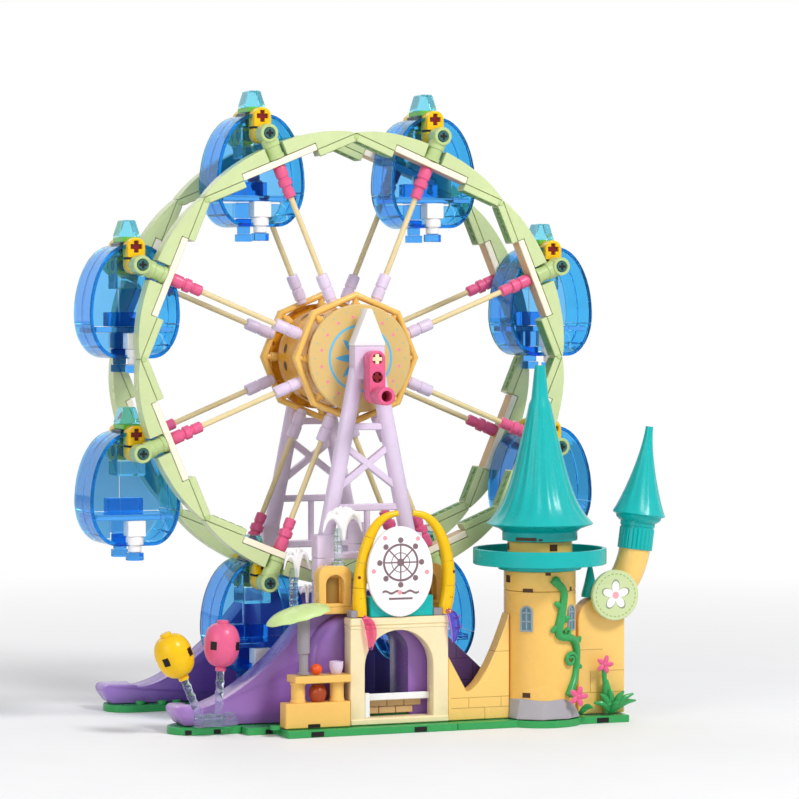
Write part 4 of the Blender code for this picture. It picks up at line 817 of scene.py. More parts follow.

# %% [markdown]
# The drum is a pair of round blocks with a seam between them and rows of pin holes in their sides. A hole
# is a low rim on the drum's skin round a dark brown disk, painted shade for the depth of the hole, which
# reads better than a printed dot when the light moves.

# %% Drum
DRUM_RADIUS = 22.0
half_drum = [(12.0, 25.2), (12.0, 19.9), (21.6, 19.9), (22.0, 19.5), (22.0, 0.35), (21.6, 0.1), (12.0, 0.1)]
hole_rim = [(2.2, -1.2), (2.2, 0.12), (2.7, 0.12), (2.8, -0.3)]
rims, hole_shade_disks = [], []
for index in range(8):
    for aside in (-4, 4):
        out = outward(index * EIGHTH + aside / DRUM_RADIUS)
        for y in (-10.0, 10.0):
            spot = Vector((0, y, HUB)) + out * (DRUM_RADIUS - 0.05)
            rims.append(turned(hole_rim, spot, spot + out, 16))
            hole_shade_disks.append(turned([(0, 0.06), (2.25, 0.06)], spot, spot + out, 16))
piece("hub_drum_shell", [on_axle(half_drum, 48), on_axle(half_drum, 48, toward=1)], AMBER, "wheel")
piece("hub_drum_hole_rims", rims, AMBER, "wheel")
# The dark brown disks are painted shade in the pin holes.
piece("hub_drum_hole_shade_disks", hole_shade_disks, DARK_BROWN, "wheel")

# %% [markdown]
# The octagon is one pierced plate with rounded edges. Eight bars run from its corners to an inner ring, and
# each has a thicker sleeve.

# %% Octagon frames
def octagon_frame():
    octagons = [[polar(radius, EIGHTH * k, AXLE) for k in range(8)] for radius in (29.5, 26.6)]
    shapes = [pierced(octagons, (-24.7, -20.5), 1.2, 2)]
    shapes.append(pierced([circle(AXLE, radius, 32) for radius in (15.7, 12.4)], (-24.3, -20.9), 0.5, 1))
    centre = Vector((0, -22.6, HUB))
    for k in range(8):
        out = outward(EIGHTH * k)
        shapes.append(rod(centre + out * 14.5, centre + out * 26.8, 1.45, sides=14, edge=0))
        shapes.append(rod(centre + out * 21.0, centre + out * 24.6, 2.1, sides=14))
    return shapes


for name, behind in SIDES:
    piece(name + "_octagon_bars", mirrored(octagon_frame(), behind), GOLD, "wheel", "hub_frame_" + name)

# %% [markdown]
# ## Axle and hand crank
# The axle comes through the front stand into a pink three-hole beam, and a round knob with a hole in its
# end turns on the beam's last hole. Cross-shaped axle ends show pale and red in the first two holes.

# %% Crank
PITCH, PIN_HOLE = 8, 2.45
CRANK_END = HUB - 2 * PITCH


def plus_loop(centre, reach, half):
    quarter = [(reach, half), (half, half), (half, reach)]
    corners = quarter + [(-a, b) for a, b in quarter[::-1]]
    corners += [(-a, -b) for a, b in corners]
    return [(centre[0] + a, centre[1] + b) for a, b in corners]


def rounded_beam(top, bottom, radius, holes, y):
    """A beam with round ends and holes through it."""
    outline = arc((0, top), radius, 0, math.pi, 14) + arc((0, bottom), radius, math.pi, 2 * math.pi, 14)
    return pierced([outline, *holes], y, 0.35, 1)


crank_holes = [circle((0, HUB - drop), PIN_HOLE, 20) for drop in (0, PITCH, 2 * PITCH)]
crank_beam = rounded_beam(HUB, CRANK_END, 3.7, crank_holes, (-50.6, -42.8))
bush = [(2.5, 41.3), (3.3, 41.3), (3.4, 41.5), (3.4, 42.8), (2.5, 42.8), (2.5, 41.3)]
end_bush = [(0, 41.3), (3.2, 41.3), (3.4, 41.5), (3.4, 44.9), (3.1, 45.3), (0, 45.3)]
pale_cross = slab(plus_loop(AXLE, 2.3, 0.85), (-50.2, -43), 0.15)
red_cross = slab(plus_loop((0, HUB - PITCH), 2.3, 0.85), (-50.1, -44), 0.15)
piece("crank_beam", [crank_beam, on_axle(bush, 24)], PINK, "wheel", "crank_arm")
piece("axle_bar", [pale_cross, rod((0, -43, HUB), (0, 41.4, HUB), 2.35)], CREAM, "wheel", "axle")
piece("axle_end_bush", [on_axle(end_bush, 24, toward=1)], PINK, "wheel")
piece("crank_red_cross", [red_cross], DARK_RED, "wheel")

knob = [(2.5, 61.9), (3.6, 61.9), (4.0, 61.5), (4.0, 59.6), (3.75, 59.3), (3.75, 58.9), (4.0, 58.6),
        (4.0, 51.3), (3.8, 50.95), (2.35, 50.95), (2.35, 43), (0, 43), (0, 55), (2.4, 55), (2.5, 61.9)]
plug = [(0, 55.3), (2.35, 55.3)]
piece("crank_knob", [on_axle(knob, 28, height=CRANK_END)], PINK, "handle", "crank_handle")
piece("crank_knob_plug", [on_axle(plug, 20, height=CRANK_END)], DARK_RED, "handle")

# %% [markdown]
# ## Gondolas
# A gondola is a hoop of curved clear panels, two rows deep, so that the dark joint between the rows follows
# the hoop all the way round. Joints at the waist and near the foot part the panels. A floor, a seat and two
# thin clear panes close the rear half. Each gondola is drawn round its own pivot and then carried there.

# %% Gondola walls
WALL, PANE_INSET, PANE_Y = 1.6, 1.75, (11.9, 13.1)
CROWN_WAYS, FOOT_WAYS, SIDE_WAYS = (0.001, 1.134), (1.538, 1.999), (1.137, 1.535)


def wall_point(way, inset):
    """A point of the hoop: way 0 is the crown, 1 the waist and 2 the foot, negative on the left."""
    side, way = math.copysign(1, way), abs(way)
    turn = math.pi / 2 * (way % 1)
    if way < 1:
        across, up = 3 + (17.5 - inset) * math.sin(turn), -22 + (31 - inset) * math.cos(turn)
    else:
        across, up = 8 + (12.5 - inset) * math.cos(turn), -22 - (18.8 - inset) * math.sin(turn)
    return side * across, up


def wall_panel(stations, y):
    outline = [wall_point(way, 0) for way in stations] + [wall_point(way, WALL) for way in reversed(stations)]
    return slab(outline, y, 0.2)


def gondola_walls():
    low, high = CROWN_WAYS
    panels = [ways(-high, -low, 14) + ways(low, high, 14)]
    low, high = FOOT_WAYS
    panels.append(ways(low, high, 6) + ways(-high, -low, 6))
    panels += [ways(side * SIDE_WAYS[0], side * SIDE_WAYS[1], 5) for side in (1, -1)]
    return [wall_panel(panel, y) for y in ((-13.2, -0.15), (0.15, 13.2)) for panel in panels]


def gondola_panes():
    upper = [wall_point(way, PANE_INSET) for way in ways(0.06, 1.185, 12)]
    upper += [(0.2, -26.9), (0.2, -4.8), (4.3, -4.8)]
    lower = [wall_point(way, PANE_INSET) for way in ways(1.31, 1.999, 6)] + [(4.3, -39.0), (4.3, -29.8)]
    return [
        slab([(side * across, up) for across, up in outline], PANE_Y, 0.2)
        for side in (-1, 1)
        for outline in (upper, lower)
    ]


# %% [markdown]
# The hanger at the top is a yellow two-hole beam on each side of an aqua block, with a pin through the
# connector's head and a dark red cross axle above it. A green plate and an aqua slope finish the crown.
# Round feet end in flat disks, and one of each pair has a white foot in front of it.

# %% Gondola fittings
FRONT_FOOT_Y, REAR_FOOT_Y, FOOT_EASE = -11.6, 11.6, 0.3


def hanger():
    outline = arc((0, PITCH), 4, 0, math.pi, 12) + arc((0, 0), 4, math.pi, 2 * math.pi, 12)
    holes = [circle((0, 0), PIN_HOLE, 20), plus_loop((0, PITCH), 2.6, 1.05)]
    return pierced([outline, *holes], (-15.6, -7.7), 0.35, 1)


def foot_disk(y, low, high, radius):
    profile = [(0, low), (radius - FOOT_EASE, low), (radius, low + FOOT_EASE), (radius, high - FOOT_EASE)]
    return standing(profile + [(radius - FOOT_EASE, high), (0, high)], 0, y, 24)


def gondola_parts():
    """Each part's name, shapes, finish and, where it stands for one, the ending of its solid's name."""
    slope = slab([(-5, 12.5), (5, 12.5), (2.6, 19.8), (-2.6, 19.8)], (-5, 5), 0.4)
    # Painted light: these aqua blocks are a paler copy of the slope's aqua, for the lamp light the clear
    # walls keep from them.
    aqua = [block((-5.3, 5.3), (-7.2, 7.2), (3.6, 9.9)), block((-6.4, 6.4), (-6.9, 7.2), (-10.4, 3.4))]
    floor = [block((-17.4, 17.4), (-12.9, 11.7), (-29.5, -27.0)), block((-8, 8), (2, 9.8), (-26.9, -20.6)),
             block((-4, 4), (7.7, 15.5), (-36.6, -29.7)), foot_disk(REAR_FOOT_Y, -43.6, -36.7, 3.0),
             foot_disk(REAR_FOOT_Y, -40.4, -36.8, 4.0)]
    floor += [foot_disk(y, -47.1, -43.7, 4.0) for y in (REAR_FOOT_Y, FRONT_FOOT_Y)]
    front_foot = [block((-4, 4), (-15.5, -7.7), (-36.6, -29.7)), foot_disk(FRONT_FOOT_Y, -43.6, -36.8, 3.0),
                  foot_disk(FRONT_FOOT_Y, -40.4, -36.7, 3.9)]
    pins = [rod((0, start, 0), (0, end, 0), 2.35) for start, end in ((-25.5, -7.8), (7.8, 25.5))]
    # Painted shade: a black plus at the pin's end for its cross hole, and a black strip across the front
    # hanger for its slot.
    marks = [slab(plus_loop((0, 0), 1.6, 0.5), (-25.7, -25.4), 0)]
    marks.append(block((-4.15, 0.2), (-15.75, -9), (2.4, 3.4), 0.1))
    return [
        ("walls", gondola_walls(), CLEAR_AZURE, "_shell"), ("panes", gondola_panes(), CLEAR_BLUE),
        ("crown_slope", [slope], CLEAR_AQUA), ("aqua_blocks", aqua, LIGHTENED_AQUA),
        ("green_plate", [block((-4, 4), (-7.9, 7.9), (10.0, 12.4))], BRIGHT_LEAF),
        ("floor", floor, DEEP_BLUE), ("front_foot", front_foot, WHITE),
        ("hangers", [hanger(), to_rear(hanger())], YELLOW, "_frame"),
        ("cross_axle", [slab(plus_loop((0, PITCH), 2.45, 0.95), (-14.4, 14.4), 0.1)], DARK_RED),
        ("pins", pins, PIN_TEAL), ("dark_marks", marks, PAINTED_SHADE_BLACK),
    ]


for k in range(1, 9):
    across, up = polar(PIVOT, EIGHTH * (k - 0.5), AXLE)
    body = f"gondola_{k}"
    for name, shapes, finish, *endings in gondola_parts():
        shapes = [shifted(shape, (across, 0, up)) for shape in shapes]
        piece(f"{body}_{name}", shapes, finish, body, *[body + ending for ending in endings])

# %% [markdown]
# ## The stands
# Two lavender trestles carry the axle. Round legs spread downwards, two rungs and a crossed pair of bars
# brace them, and a white slope with a blunt point caps the axle block. The rear one mirrors the front one.

# %% Stands
TRESTLE_Y, TRESTLE_MIDDLE = (-41, -33), -37


def leg_spread(drop):
    return 3.6 + 0.2 * drop


def brace(side):
    start, end = Vector((side * leg_spread(38), -38)), Vector((-side * leg_spread(58), -58))
    across = (end - start).normalized().orthogonal() * 1.4
    corners = [start + across, start - across, end - across, end + across]
    depth = (-38.8 + side * 0.05, -35.2 + side * 0.05)
    return slab([(corner.x, HUB + corner.y) for corner in corners], depth, 0.3)


def stand():
    head = [(-7, HUB - 9), (7, HUB - 9), (7, HUB + 5.5), (-7, HUB + 5.5)]
    shapes = [pierced([head, circle(AXLE, 2.6, 20)], TRESTLE_Y, 0.4, 1)]
    for side in (-1, 1):
        legs = [(side * leg_spread(drop), TRESTLE_MIDDLE, HUB - drop) for drop in (4.5, 86.4)]
        shapes += [rod(*legs, 3.6, sides=36, edge=0), brace(side)]
        foot = side * 20.6
        for heights in ((54.35, 64.6), (64.75, 75.0), (75.15, 85.3)):
            shapes.append(block((foot - 4, foot + 4), TRESTLE_Y, heights))
    for drop in (30, 65.6):
        width = leg_spread(drop)
        shapes.append(block((-width, width), (-38.6, -35.4), (HUB - drop - 1.5, HUB - drop + 1.5), 0.4))
    shapes.append(rod((0, TRESTLE_MIDDLE, HUB - 87), (0, TRESTLE_MIDDLE, HUB - 65.8), 1.4, sides=14, edge=0))
    shapes.append(block((-20.5, 20.5), (-40.8, -33.2), (HUB - 88.1, HUB - 85.1)))
    return shapes


def stand_cap():
    outline = [(-7.3, 5.6), (7.3, 5.6), (7.3, 6.6), (1.0, 22), (-1.0, 22), (-7.3, 6.6)]
    return slab([(across, HUB + up) for across, up in outline], (-40.9, -33.1), 0.45, 2)


for name, behind in SIDES:
    piece(name + "_stand", mirrored(stand(), behind), LAVENDER, "base", "stand_" + name)
    piece(name + "_stand_cap", mirrored([stand_cap()], behind), WHITE)

# %% [markdown]
# ## Base plates
# The base is thin green plates laid edge to edge, a rounded one under each nose of the mounds and one under
# the tower. Little black notches along the front are painted shade in the clutch openings of the plates, and
# a few studs and two grey plates show where nothing was built on top.

# %% Base
PLATE_Z = (0, 3.2)
TOWER = (75.0, -55.6)
plates = [block(x, y, PLATE_Z) for x, y in (
    ((-47, 31.4), (-66.5, -50.1)), ((31.6, 114), (-66.5, -50.1)), ((-60, 26.9), (-49.9, 6)),
    ((27.1, 114), (-49.9, 6)), ((-60, 26.9), (6.1, 62)), ((27.1, 114), (6.1, 62)),
)]
plates.append(rod((*TOWER, 0), (*TOWER, 3.15), 18.8, sides=56, edge=0.3))
for left, y in ((-79, -30.8), (-83, 56)):
    plates.append(block((left, -60.1), (y - 11, y + 11), PLATE_Z))
    plates.append(rod((left, y, 0), (left, y, 3.18), 11, sides=48, edge=0.3))
studs = ((-69, 46.6), (-62.2, 46.0), (-79, 48), (-56, -14), (-56, 20), (-50, -58), (-66, -22), (-74, -22))
plates += [rod((x, y, 3.1), (x, y, 4.9), 2.2, sides=18, edge=0.2) for x, y in studs]
piece("base_plates", plates, LEAF, "base", "base_plate")
grey_plates = [block((-71, -60.2), (10, 26), (0.2, 3.0)), block((-72, -60.2), (-19.6, -6), (0.2, 3.0))]
piece("grey_base_plates", grey_plates, STONE)
# Painted shade: black blocks in the plates' clutch openings, and one strip low on the counter's front.
notches = [block((x - 2.9, x + 2.9), (-66.58, -65), (0.3, 2.5), 0) for x in (-33.6, 14, 69.7, 101)]
for x, y in ((-83.5, -41.25), (-71, -41.9), (-50, -50.05)):
    notches.append(block((x - 1.6, x + 1.6), (y, y + 1), (0.4, 2.3), 0))
notches.append(block((-36.4, -30.8), (-62.08, -61), (3.7, 5.3), 0))
piece("base_notches", notches, PAINTED_SHADE_BLACK)

# %% [markdown]
# ## Purple mounds
# A mound is a thick curved slope: a round nose, a hollow rise to a flat top, and a straight fall on the
# other side, with an arched passage through it. Its colour is painted darker low down and paler towards the
# top and on the noses: painted light and shade. On the front mound the straight slope, which lies in the
# shade of the walls in front of it, is painted dark as painted shade, and brick joints show on it.

# %% Mound finish
NOSE_END, NOSE_FADE = -88, 40
COURSE, BRICK = 9.6, 16


def shaded_mound_finish(name, nose, shaded_low, top, slope_shade):
    material, wire, shader, place = new_finish(name + "_plastic")
    x, z = ways_from(wire, place)
    # Painted light and shade: darker low down, lighter towards the top, and paler again on the noses.
    ground = ((z - 8) / 46).held().blend(paint(shaded_low), paint(top))
    shades = ((x - NOSE_END) / NOSE_FADE).held().blend(paint(nose), ground)
    row, course = wire.sum("FRACT", z / COURSE), wire.sum("FLOOR", z / COURSE) * 0.5
    joint = row.below(0.035).joined(wire.sum("FRACT", x / BRICK + course).below(0.02))
    # Painted shade: the straight slope is darkened where the walls in front of it shade it.
    slope = x.above(31.0)
    shades = (slope * slope_shade).blend(shades, paint("#3B2A55"))
    mottle = wire.noise(place, 30, 3) * 0.16 + 0.92
    grey = wire.node("CombineColor", {}, {0: mottle, 1: mottle, 2: mottle})
    product = {"data_type": "RGBA", "blend_type": "MULTIPLY"}
    dull = wire.node("Mix", product, {0: 1.0, 6: shades, 7: grey}, out=2)
    moulded(shader, place, (joint * slope * (slope_shade * 0.85)).blend(dull, paint("#1E1230")), 0.24, 0.05)
    return material


FRONT_SHADED_PURPLE = shaded_mound_finish("front_mound", "#B083CE", "#9564B8", "#8E69B2", 0.7)
# Painted shade: the rear mound's colours are a darker copy of the front mound's, for the shade it stands in.
REAR_SHADED_PURPLE = shaded_mound_finish("rear_mound", "#A07ACD", "#6743A4", "#8360B8", 0.0)
print("mound finishes:", FRONT_SHADED_PURPLE.name, "and", REAR_SHADED_PURPLE.name)

# %% [markdown]
# The wing is one outline made thick, and its outer end is then swept back a little by moving its points. The
# front mound also has a shoulder, whose left side is a big rounded slope.

# %% Mounds
SUMMIT = 54


def passage_loop():
    return [(14.5, SEAT + 0.02), *arc((3.25, 33.25), 11.25, 0, math.pi, 18), (-8, SEAT + 0.02)]


def wing(nose_left, middle, slope_end):
    outline = [(nose_left + 3.5, SEAT), (nose_left + 0.4, 8.2)]
    outline += [*arc((nose_left + 2.2, 9.8), 2.2, math.pi, math.pi / 2, 5), (-80, 12)]
    outline += [(-79 + 53.5 * share, 11 + 43 * share**1.6) for share in ways(0, 1, 24)]
    outline += [(20, SUMMIT), (slope_end, SUMMIT - 0.92 * (slope_end - 20)), (slope_end, SEAT)]
    bm = slab(outline + passage_loop(), (middle - 8, middle + 8), 0.6, 2)
    for vert in bm.verts:
        vert.co.y += 8 * max(0, (-45 - vert.co.x) / 42.5)
    return bm


def shoulder():
    """A block whose left side is a big rounded slope, with its front rim well rounded too."""
    bow = [(-12 + 19 * math.cos(t), 30 + 21 * math.sin(t)) for t in ways(math.pi / 2, math.pi, 12)]
    bm = slab([(33, SEAT), (33, 51), *bow, (-31, SEAT), *passage_loop()[::-1]], (-50, -42.85), 0)
    rim = []
    for edge in bm.edges:
        ends = [vert.co for vert in edge.verts]
        outer = all(end.x < -10 or end.z > 45.5 for end in ends) and min(end.z for end in ends) > 3.4
        if outer and all(end.y < -49.9 for end in ends):
            rim.append(edge)
    return bevelled(bm, rim, 5.5, 6)


rear_block = [(28, SEAT), (28, SUMMIT), (-28, SUMMIT), (-28, SEAT), *passage_loop()[::-1]]
piece("front_mound", [wing(-87.5, -34.8, 58), shoulder()], FRONT_SHADED_PURPLE, "base", "mound_front")
rear_mound = [wing(-94.5, 52, 71.4), slab(rear_block, (27, 43.95), 0.6, 2)]
piece("rear_mound", rear_mound, REAR_SHADED_PURPLE, "base", "mound_rear")

# %% [markdown]
# ## Ornaments on clear posts
# Three white plumes stand over the front mound and its gallery, the two larger ones on clear ringed posts.
# Each plume is a fan of blades that rise together and curl outwards and down, so it is drawn as bent rods
# that get thinner and are pressed flat.

# %% Plumes
def plume(centre, width, height, blades=(-80, -56, -32, -10, 12, 34, 58, 82)):
    shapes = []
    for index, angle in enumerate(math.radians(degrees) for degrees in blades):
        lean, lift = math.sin(angle), math.cos(angle)
        path = flowing([
            (0, 0, -0.6), (0.10 * lean, 0, 0.1), (0.44 * lean, 0, 0.46 + 0.40 * lift),
            (0.82 * lean, 0, 0.28 + 0.58 * lift), (1.02 * lean, 0, -0.35 + 0.95 * lift),
        ], 5)
        radii = along(path, lambda share: width * (0.115 + 0.075 * math.sin(math.pi * share) - 0.095 * share))
        points = [Vector((point.x * width, (index % 2 - 0.5) * 1.6, point.z * height)) for point in path]
        bm = bent_rod(points, radii)
        bmesh.ops.scale(bm, vec=(1, 0.7, 1), verts=bm.verts)
        shapes.append(shifted(bm, centre))
    return shapes


def ringed_post(x, y, low, high):
    profile = [(0, low), (3.0, low), (3.0, low + 1.6), (1.9, low + 1.9)]
    height = low + 3.0
    while height < high - 2.4:
        profile += [(1.75, height), (1.95, height + 0.3), (1.95, height + 1.6), (1.75, height + 1.9)]
        height += 2.6
    return standing(profile + [(1.75, high), (0, high)], x, y, 20)


piece("gallery_plume", plume((-14.9, -46.55, 88.8), 9.2, 9.0), WHITE)
small_plume = plume((-27.6, -36, 58.5), 3.6, 5.2, (-60, -20, 25, 65))
piece("mound_plumes", plume((-32, -34.8, 71.5), 6.2, 8.0) + small_plume, WHITE)
piece("ornament_posts", [ringed_post(-17, -46.55, 72.4, 88.5), ringed_post(-33.5, -34.8, 46, 70.5)], CLEAR)

# %% [markdown]
# ## The entrance gate
# The gate is cream: an arched opening between two half-round columns, with a lip under and over them. A
# white rail closes it halfway, and a few beige bricks and a green floor show behind.

# %% Gate
GATE_LEFT, GATE_RIGHT, GATE_TOP = -16.1, 29.5, 50


def gate_band(y, z, past, edge):
    """A band right across the gate that stands a little past its sides."""
    return block((GATE_LEFT - past, GATE_RIGHT + past), y, z, edge)


gate_outer = [(GATE_LEFT, SEAT), (GATE_RIGHT, SEAT), (GATE_RIGHT, GATE_TOP), (GATE_LEFT, GATE_TOP)]
gate_hole = [(-9.5, 6.3), (22.5, 6.3), *arc((6.5, 28.4), 16, 0, math.pi, 28)]
gate = [pierced([gate_outer, gate_hole], (-60, -52), 0.35, 1)]
gate += [rod((x, -56.9, 6.4), (x, -56.9, 46.4), 3.1, sides=40, edge=0) for x in (-12.8, 25.8)]
gate += [gate_band((-60.6, -51.9), (46.8, 50.05), 0.2, 0.4), gate_band((-60.35, -52), (45.2, 46.5), 0.1, 0.3)]
gate += [gate_band((-60.5, -52), (SEAT, 6.1), 0.1, 0.4)]
piece("gate", gate, CREAM, "base", "gate")
rail = [block((-9.3, -6.9), (-59.4, -56.8), (6.4, 17.2)), block((-6.8, 22.4), (-55.4, -54.2), (13.4, 16.4))]
piece("gate_rail", rail, WHITE)
bricks = [
    block((x, x + 7.7), (-51.8, -50.2), (z, z + 2.9), 0.2)
    for z, row in ((7.2, (-7.9, 0.1, 8.1)), (10.3, (-4, 4, 12)))
    for x in row
]
piece("passage_bricks", bricks, BEIGE_AND_TILE_SHADE)
piece("passage_floor", [block((-7.8, 14.3), (-50, -28), (3.6, 6.9))], LEAF)

# %% [markdown]
# An oval plaque stands on the gate against a teal block. It is printed with a plain little wheel. That print
# and the one of the castle's round emblem are sums of distances: rings, spokes and petals are each a short
# test on the polar coordinates, and dashes come from a repeated angle.

# %% Printed plaque and emblem
PLAQUE_PRINT, PLAQUE_FRONT = (6.5, 74.0), -61.5
EMBLEM_AT = (108, 56.7)
DASHES = 30


def plaque_finish():
    material, wire, shader, place = new_finish("printed_plaque")
    x, z = ways_from(wire, place, PLAQUE_PRINT)
    radius, angle = round_ways(x, z)
    spokes = (angle.swing(math.pi / 8) * radius).below(0.34) * radius.below(8.0)
    cabins = round_dots(radius, angle, 9.7, math.pi / 8, 1.25)
    bunting = (wire.sum("SINE", x * 1.1) * 0.5 + z).between(-13.4, -12.4) * x.between(-8.5, 8.5)
    stripe = z.between(-16.2, -15.3) * x.between(-5.5, 5.5)
    rings = radius.between(7.3, 8.3).joined(radius.between(4.0, 4.4), radius.below(1.7))
    front = (wire.node("SeparateXYZ", {}, {0: place}, out="Y") * 1000).below(PLAQUE_FRONT)
    shades = overprint(
        wire.noise(place, 60, 3).blend(paint("#F4F1F3"), paint("#FBF8F9")),
        (spokes.joined(rings, cabins, bunting, stripe) * front, "#7C6268"),
        (round_dots(radius, angle + 0.35, 13.0, math.pi / 5, 1.0) * front, "#F39AA6"),
    )
    moulded(shader, place, shades, 0.28)
    return material


def emblem_finish():
    material, wire, shader, place = new_finish("printed_emblem")
    radius, angle = round_ways(*ways_from(wire, place, EMBLEM_AT))
    dashes = wire.sum("FRACT", angle * DASHES / (2 * math.pi)).below(0.6) * radius.between(9.3, 9.75)
    petal = wire.sum("ABSOLUTE", wire.sum("COSINE", (angle - math.pi / 2) * 2.5))
    flower = radius.below(petal * 3.9 + 2.4)
    shades = overprint(
        wire.noise(place, 60, 3).blend(paint("#C6D69C"), paint("#D1DDA9")),
        (dashes, "#8FB56A"), (radius.below(petal * 4.4 + 2.7) - flower, "#8A9A7C"),
        (flower, "#FAF7F2"), (radius.below(1.6), "#F3A6B4"),
    )
    moulded(shader, place, shades, 0.28)
    return material


PLAQUE, EMBLEM = plaque_finish(), emblem_finish()
oval = [(6.5 + 15.2 * math.cos(t), 70.0 + 19.7 * math.sin(t)) for t in ways(0, 2 * math.pi, 64)[:-1]]
piece("sign_plaque", [slab(oval, (-61.7, -59.3), 0.5, 2)], PLAQUE, "base", "sign")
piece("sign_block", [block((-6.5, 22.7), (-59.2, -53.2), (50.15, 59.2), 0.4)], TEAL)

# %% [markdown]
# Two tall yellow horns of four segments bow round the plaque. Each is a bent rod along a curve that was read
# off the photograph, a little different on the left and the right, and gets thinner towards its tip.

# %% Horns
HORN_Y = -56


def horn_line(side):
    points, radii = [(9.6 + side * 19.9, HORN_Y, 50.35)], [3.0]
    for s in ways(0, 1, 28):
        rest = 1 - s
        middle = 9 + 1.8 * (1 - rest**4) + (1 - side) * rest**2 - 0.4 * rest**3
        bow = 4.1 * math.sqrt(max(0, math.sin(math.pi * (0.12 + 0.88 * min(1, 1.1 * s)))))
        aside = 19.6 + bow - 16.2 * s**1.5 - 1.1 * rest**3
        points.append((middle + side * aside, HORN_Y, 53.7 + 41.4 * math.sin(math.pi * s / 2)))
        radii.append(3.1 - 1.9 * s**1.5)
    return points, radii


def horn(side):
    """Four segments with fine joints between them."""
    points, radii = horn_line(side)
    shapes = []
    for low, high in ((0, 5), (5, 10), (10, 16), (16, 29)):
        part = [Vector(point) for point in points[low : high + 1]]
        part[0] = part[0].lerp(part[1], 0.07)
        shapes.append(bent_rod(part, radii[low : high + 1], 8))
    return shapes


piece("left_horn", horn(-1), YELLOW, "base", "horn_left")
piece("right_horn", horn(1), YELLOW, "base", "horn_right")
dots = []
for x, z, across in ((-10.05, 67.7, -0.5), (31.15, 69.0, 0.58), (-10.65, 58.5, 0.1), (30.6, 58.0, 0.3)):
    spot, out = Vector((x, HORN_Y, z)), Vector((across, -math.sqrt(1 - across * across), 0))
    dots.append(rod(spot, spot + out * 3.0, 0.7, sides=12, edge=0))
piece("horn_dots", dots, DARK_RED)
plates = [block((-15.4, -12.2), (-58.6, -53), (50.1, 53.3)), block((23.0, 27.2), (-59.0, -53), (50.1, 53.3))]
piece("horn_plates", plates, STONE)

# %% [markdown]
# A clear leaf hangs over each corner of the lintel, pink on the left and violet with two barbs on the right.
# It is a bent rod that swells halfway and is pressed flat.

# %% Leaves on the gate
LEAF_Y = -62.0


def tassel(x, z, barbs=()):
    knots = [(x, -60.9, z), (x + 2.6, -62.0, z - 3.2), (x + 3.6, -62.6, z - 8.5), (x + 3.0, -62.4, z - 14.5)]
    path = flowing(knots, 5)
    leaf = bent_rod(path, along(path, lambda share: 0.9 + 1.9 * math.sin(math.pi * share) - 0.5 * share), 4)
    bmesh.ops.scale(leaf, vec=(1, 0.45, 1), verts=leaf.verts, space=Matrix.Translation((0, -LEAF_Y, 0)))
    shapes = [leaf]
    for root in (path[index] for index in barbs):
        barb = [root, root + Vector((1.8, -0.3, 0.4)), root + Vector((3.0, -0.5, 1.6))]
        shapes.append(bent_rod(flowing(barb, 4), 0.55, 2))
    return shapes


piece("left_tassel", tassel(-10.8, 50.9), CLEAR_PINK)
piece("right_tassel", tassel(28.1, 52.8, (6, 10)), CLEAR_VIOLET)

# %% [markdown]
# ## The gallery
# On the mound's shoulder runs a golden walkway with an arch window at each end. A niche with a darker
# rounded back is let into each window.

# %% Gallery
NICHE_Y = -45.4


def arch_window(middle):
    outline = [(middle - 7.5, 54.4), (middle + 7.5, 54.4), *arc((middle + 3, 67.8), 4.5, 0, math.pi / 2, 8)]
    outline += arc((middle - 3, 67.8), 4.5, math.pi / 2, math.pi, 8)
    niche = [(middle - 4.2, 55.9), (middle + 4.2, 55.9), *arc((middle, 64.2), 4.2, 0, math.pi, 14)]
    return [pierced([outline, niche], (-50, -45.7), 0.3, 1), slab(outline, (-45.6, -43.1), 0.3)]


gallery = [block(x, (-50, -43.1), (51.3, 54.3)) for x in ((-27, 2.2), (2.3, 31.5))]
backs = []
for middle in (-19.5, 24.0):
    gallery += arch_window(middle)
    bm = rod((middle, NICHE_Y, 55.95), (middle, NICHE_Y, 66.5), 3.2, sides=24, edge=0)
    bmesh.ops.scale(bm, vec=(1, 0.45, 1), verts=bm.verts, space=Matrix.Translation((0, -NICHE_Y, 0)))
    backs.append(bm)
piece("gallery", gallery, GOLD, "base", "arch_gallery")
piece("niche_backs", backs, DARK_GOLD)

# %% [markdown]
# ## The round tower
# The tower is a golden drum with a narrower neck and a teal balcony ring.

# %% Tower drum and balcony
TOWER_RADIUS, NECK_RADIUS, ROOF_COLLAR = 16, 14.4, 16.7
drums = [
    [(0, SEAT), (15.7, SEAT), (16, SEAT + 0.3), (16, 59.5), (15.8, 59.7), (0, 59.7)],
    [(0, 59.9), (15.8, 59.9), (16, 60.1), (16, 68.2), (15.7, 68.5), (0, 68.5)],
    [(0, 68.6), (14.4, 68.6), (14.4, 81.3), (14.2, 81.5), (0, 81.5)],
]
piece("tower_drum", [standing(profile, *TOWER, 72) for profile in drums], GOLD, "base", "tower_body")
ring = [(29.7, 78.0), (29.7, 71.5), (29.4, 71.2), (18.5, 71.2), (18.5, 69.0), (18.3, 68.8), (14.7, 68.8),
        (14.7, 73.7), (27.7, 73.7), (27.7, 78.0), (27.9, 78.2), (29.5, 78.2), (29.7, 78.0)]
piece("balcony_ring", [standing(ring, *TOWER, 96)], TEAL, "base", "balcony")

# %% [markdown]
# Its roof is tall and hollow-sided with soft flutes, and ends in a thin straight tip. The turret's smaller
# roof is the same shape with other measures, so one function turns both profiles and another flutes them.

# %% Tower roof
def swelled(bm, factor_at):
    """Moves each point away from the Z axis by a factor that depends on its height and angle."""
    for vert in bm.verts:
        factor = factor_at(vert.co.z, math.atan2(vert.co.y, vert.co.x))
        vert.co.x, vert.co.y = vert.co.x * factor, vert.co.y * factor
    return bm


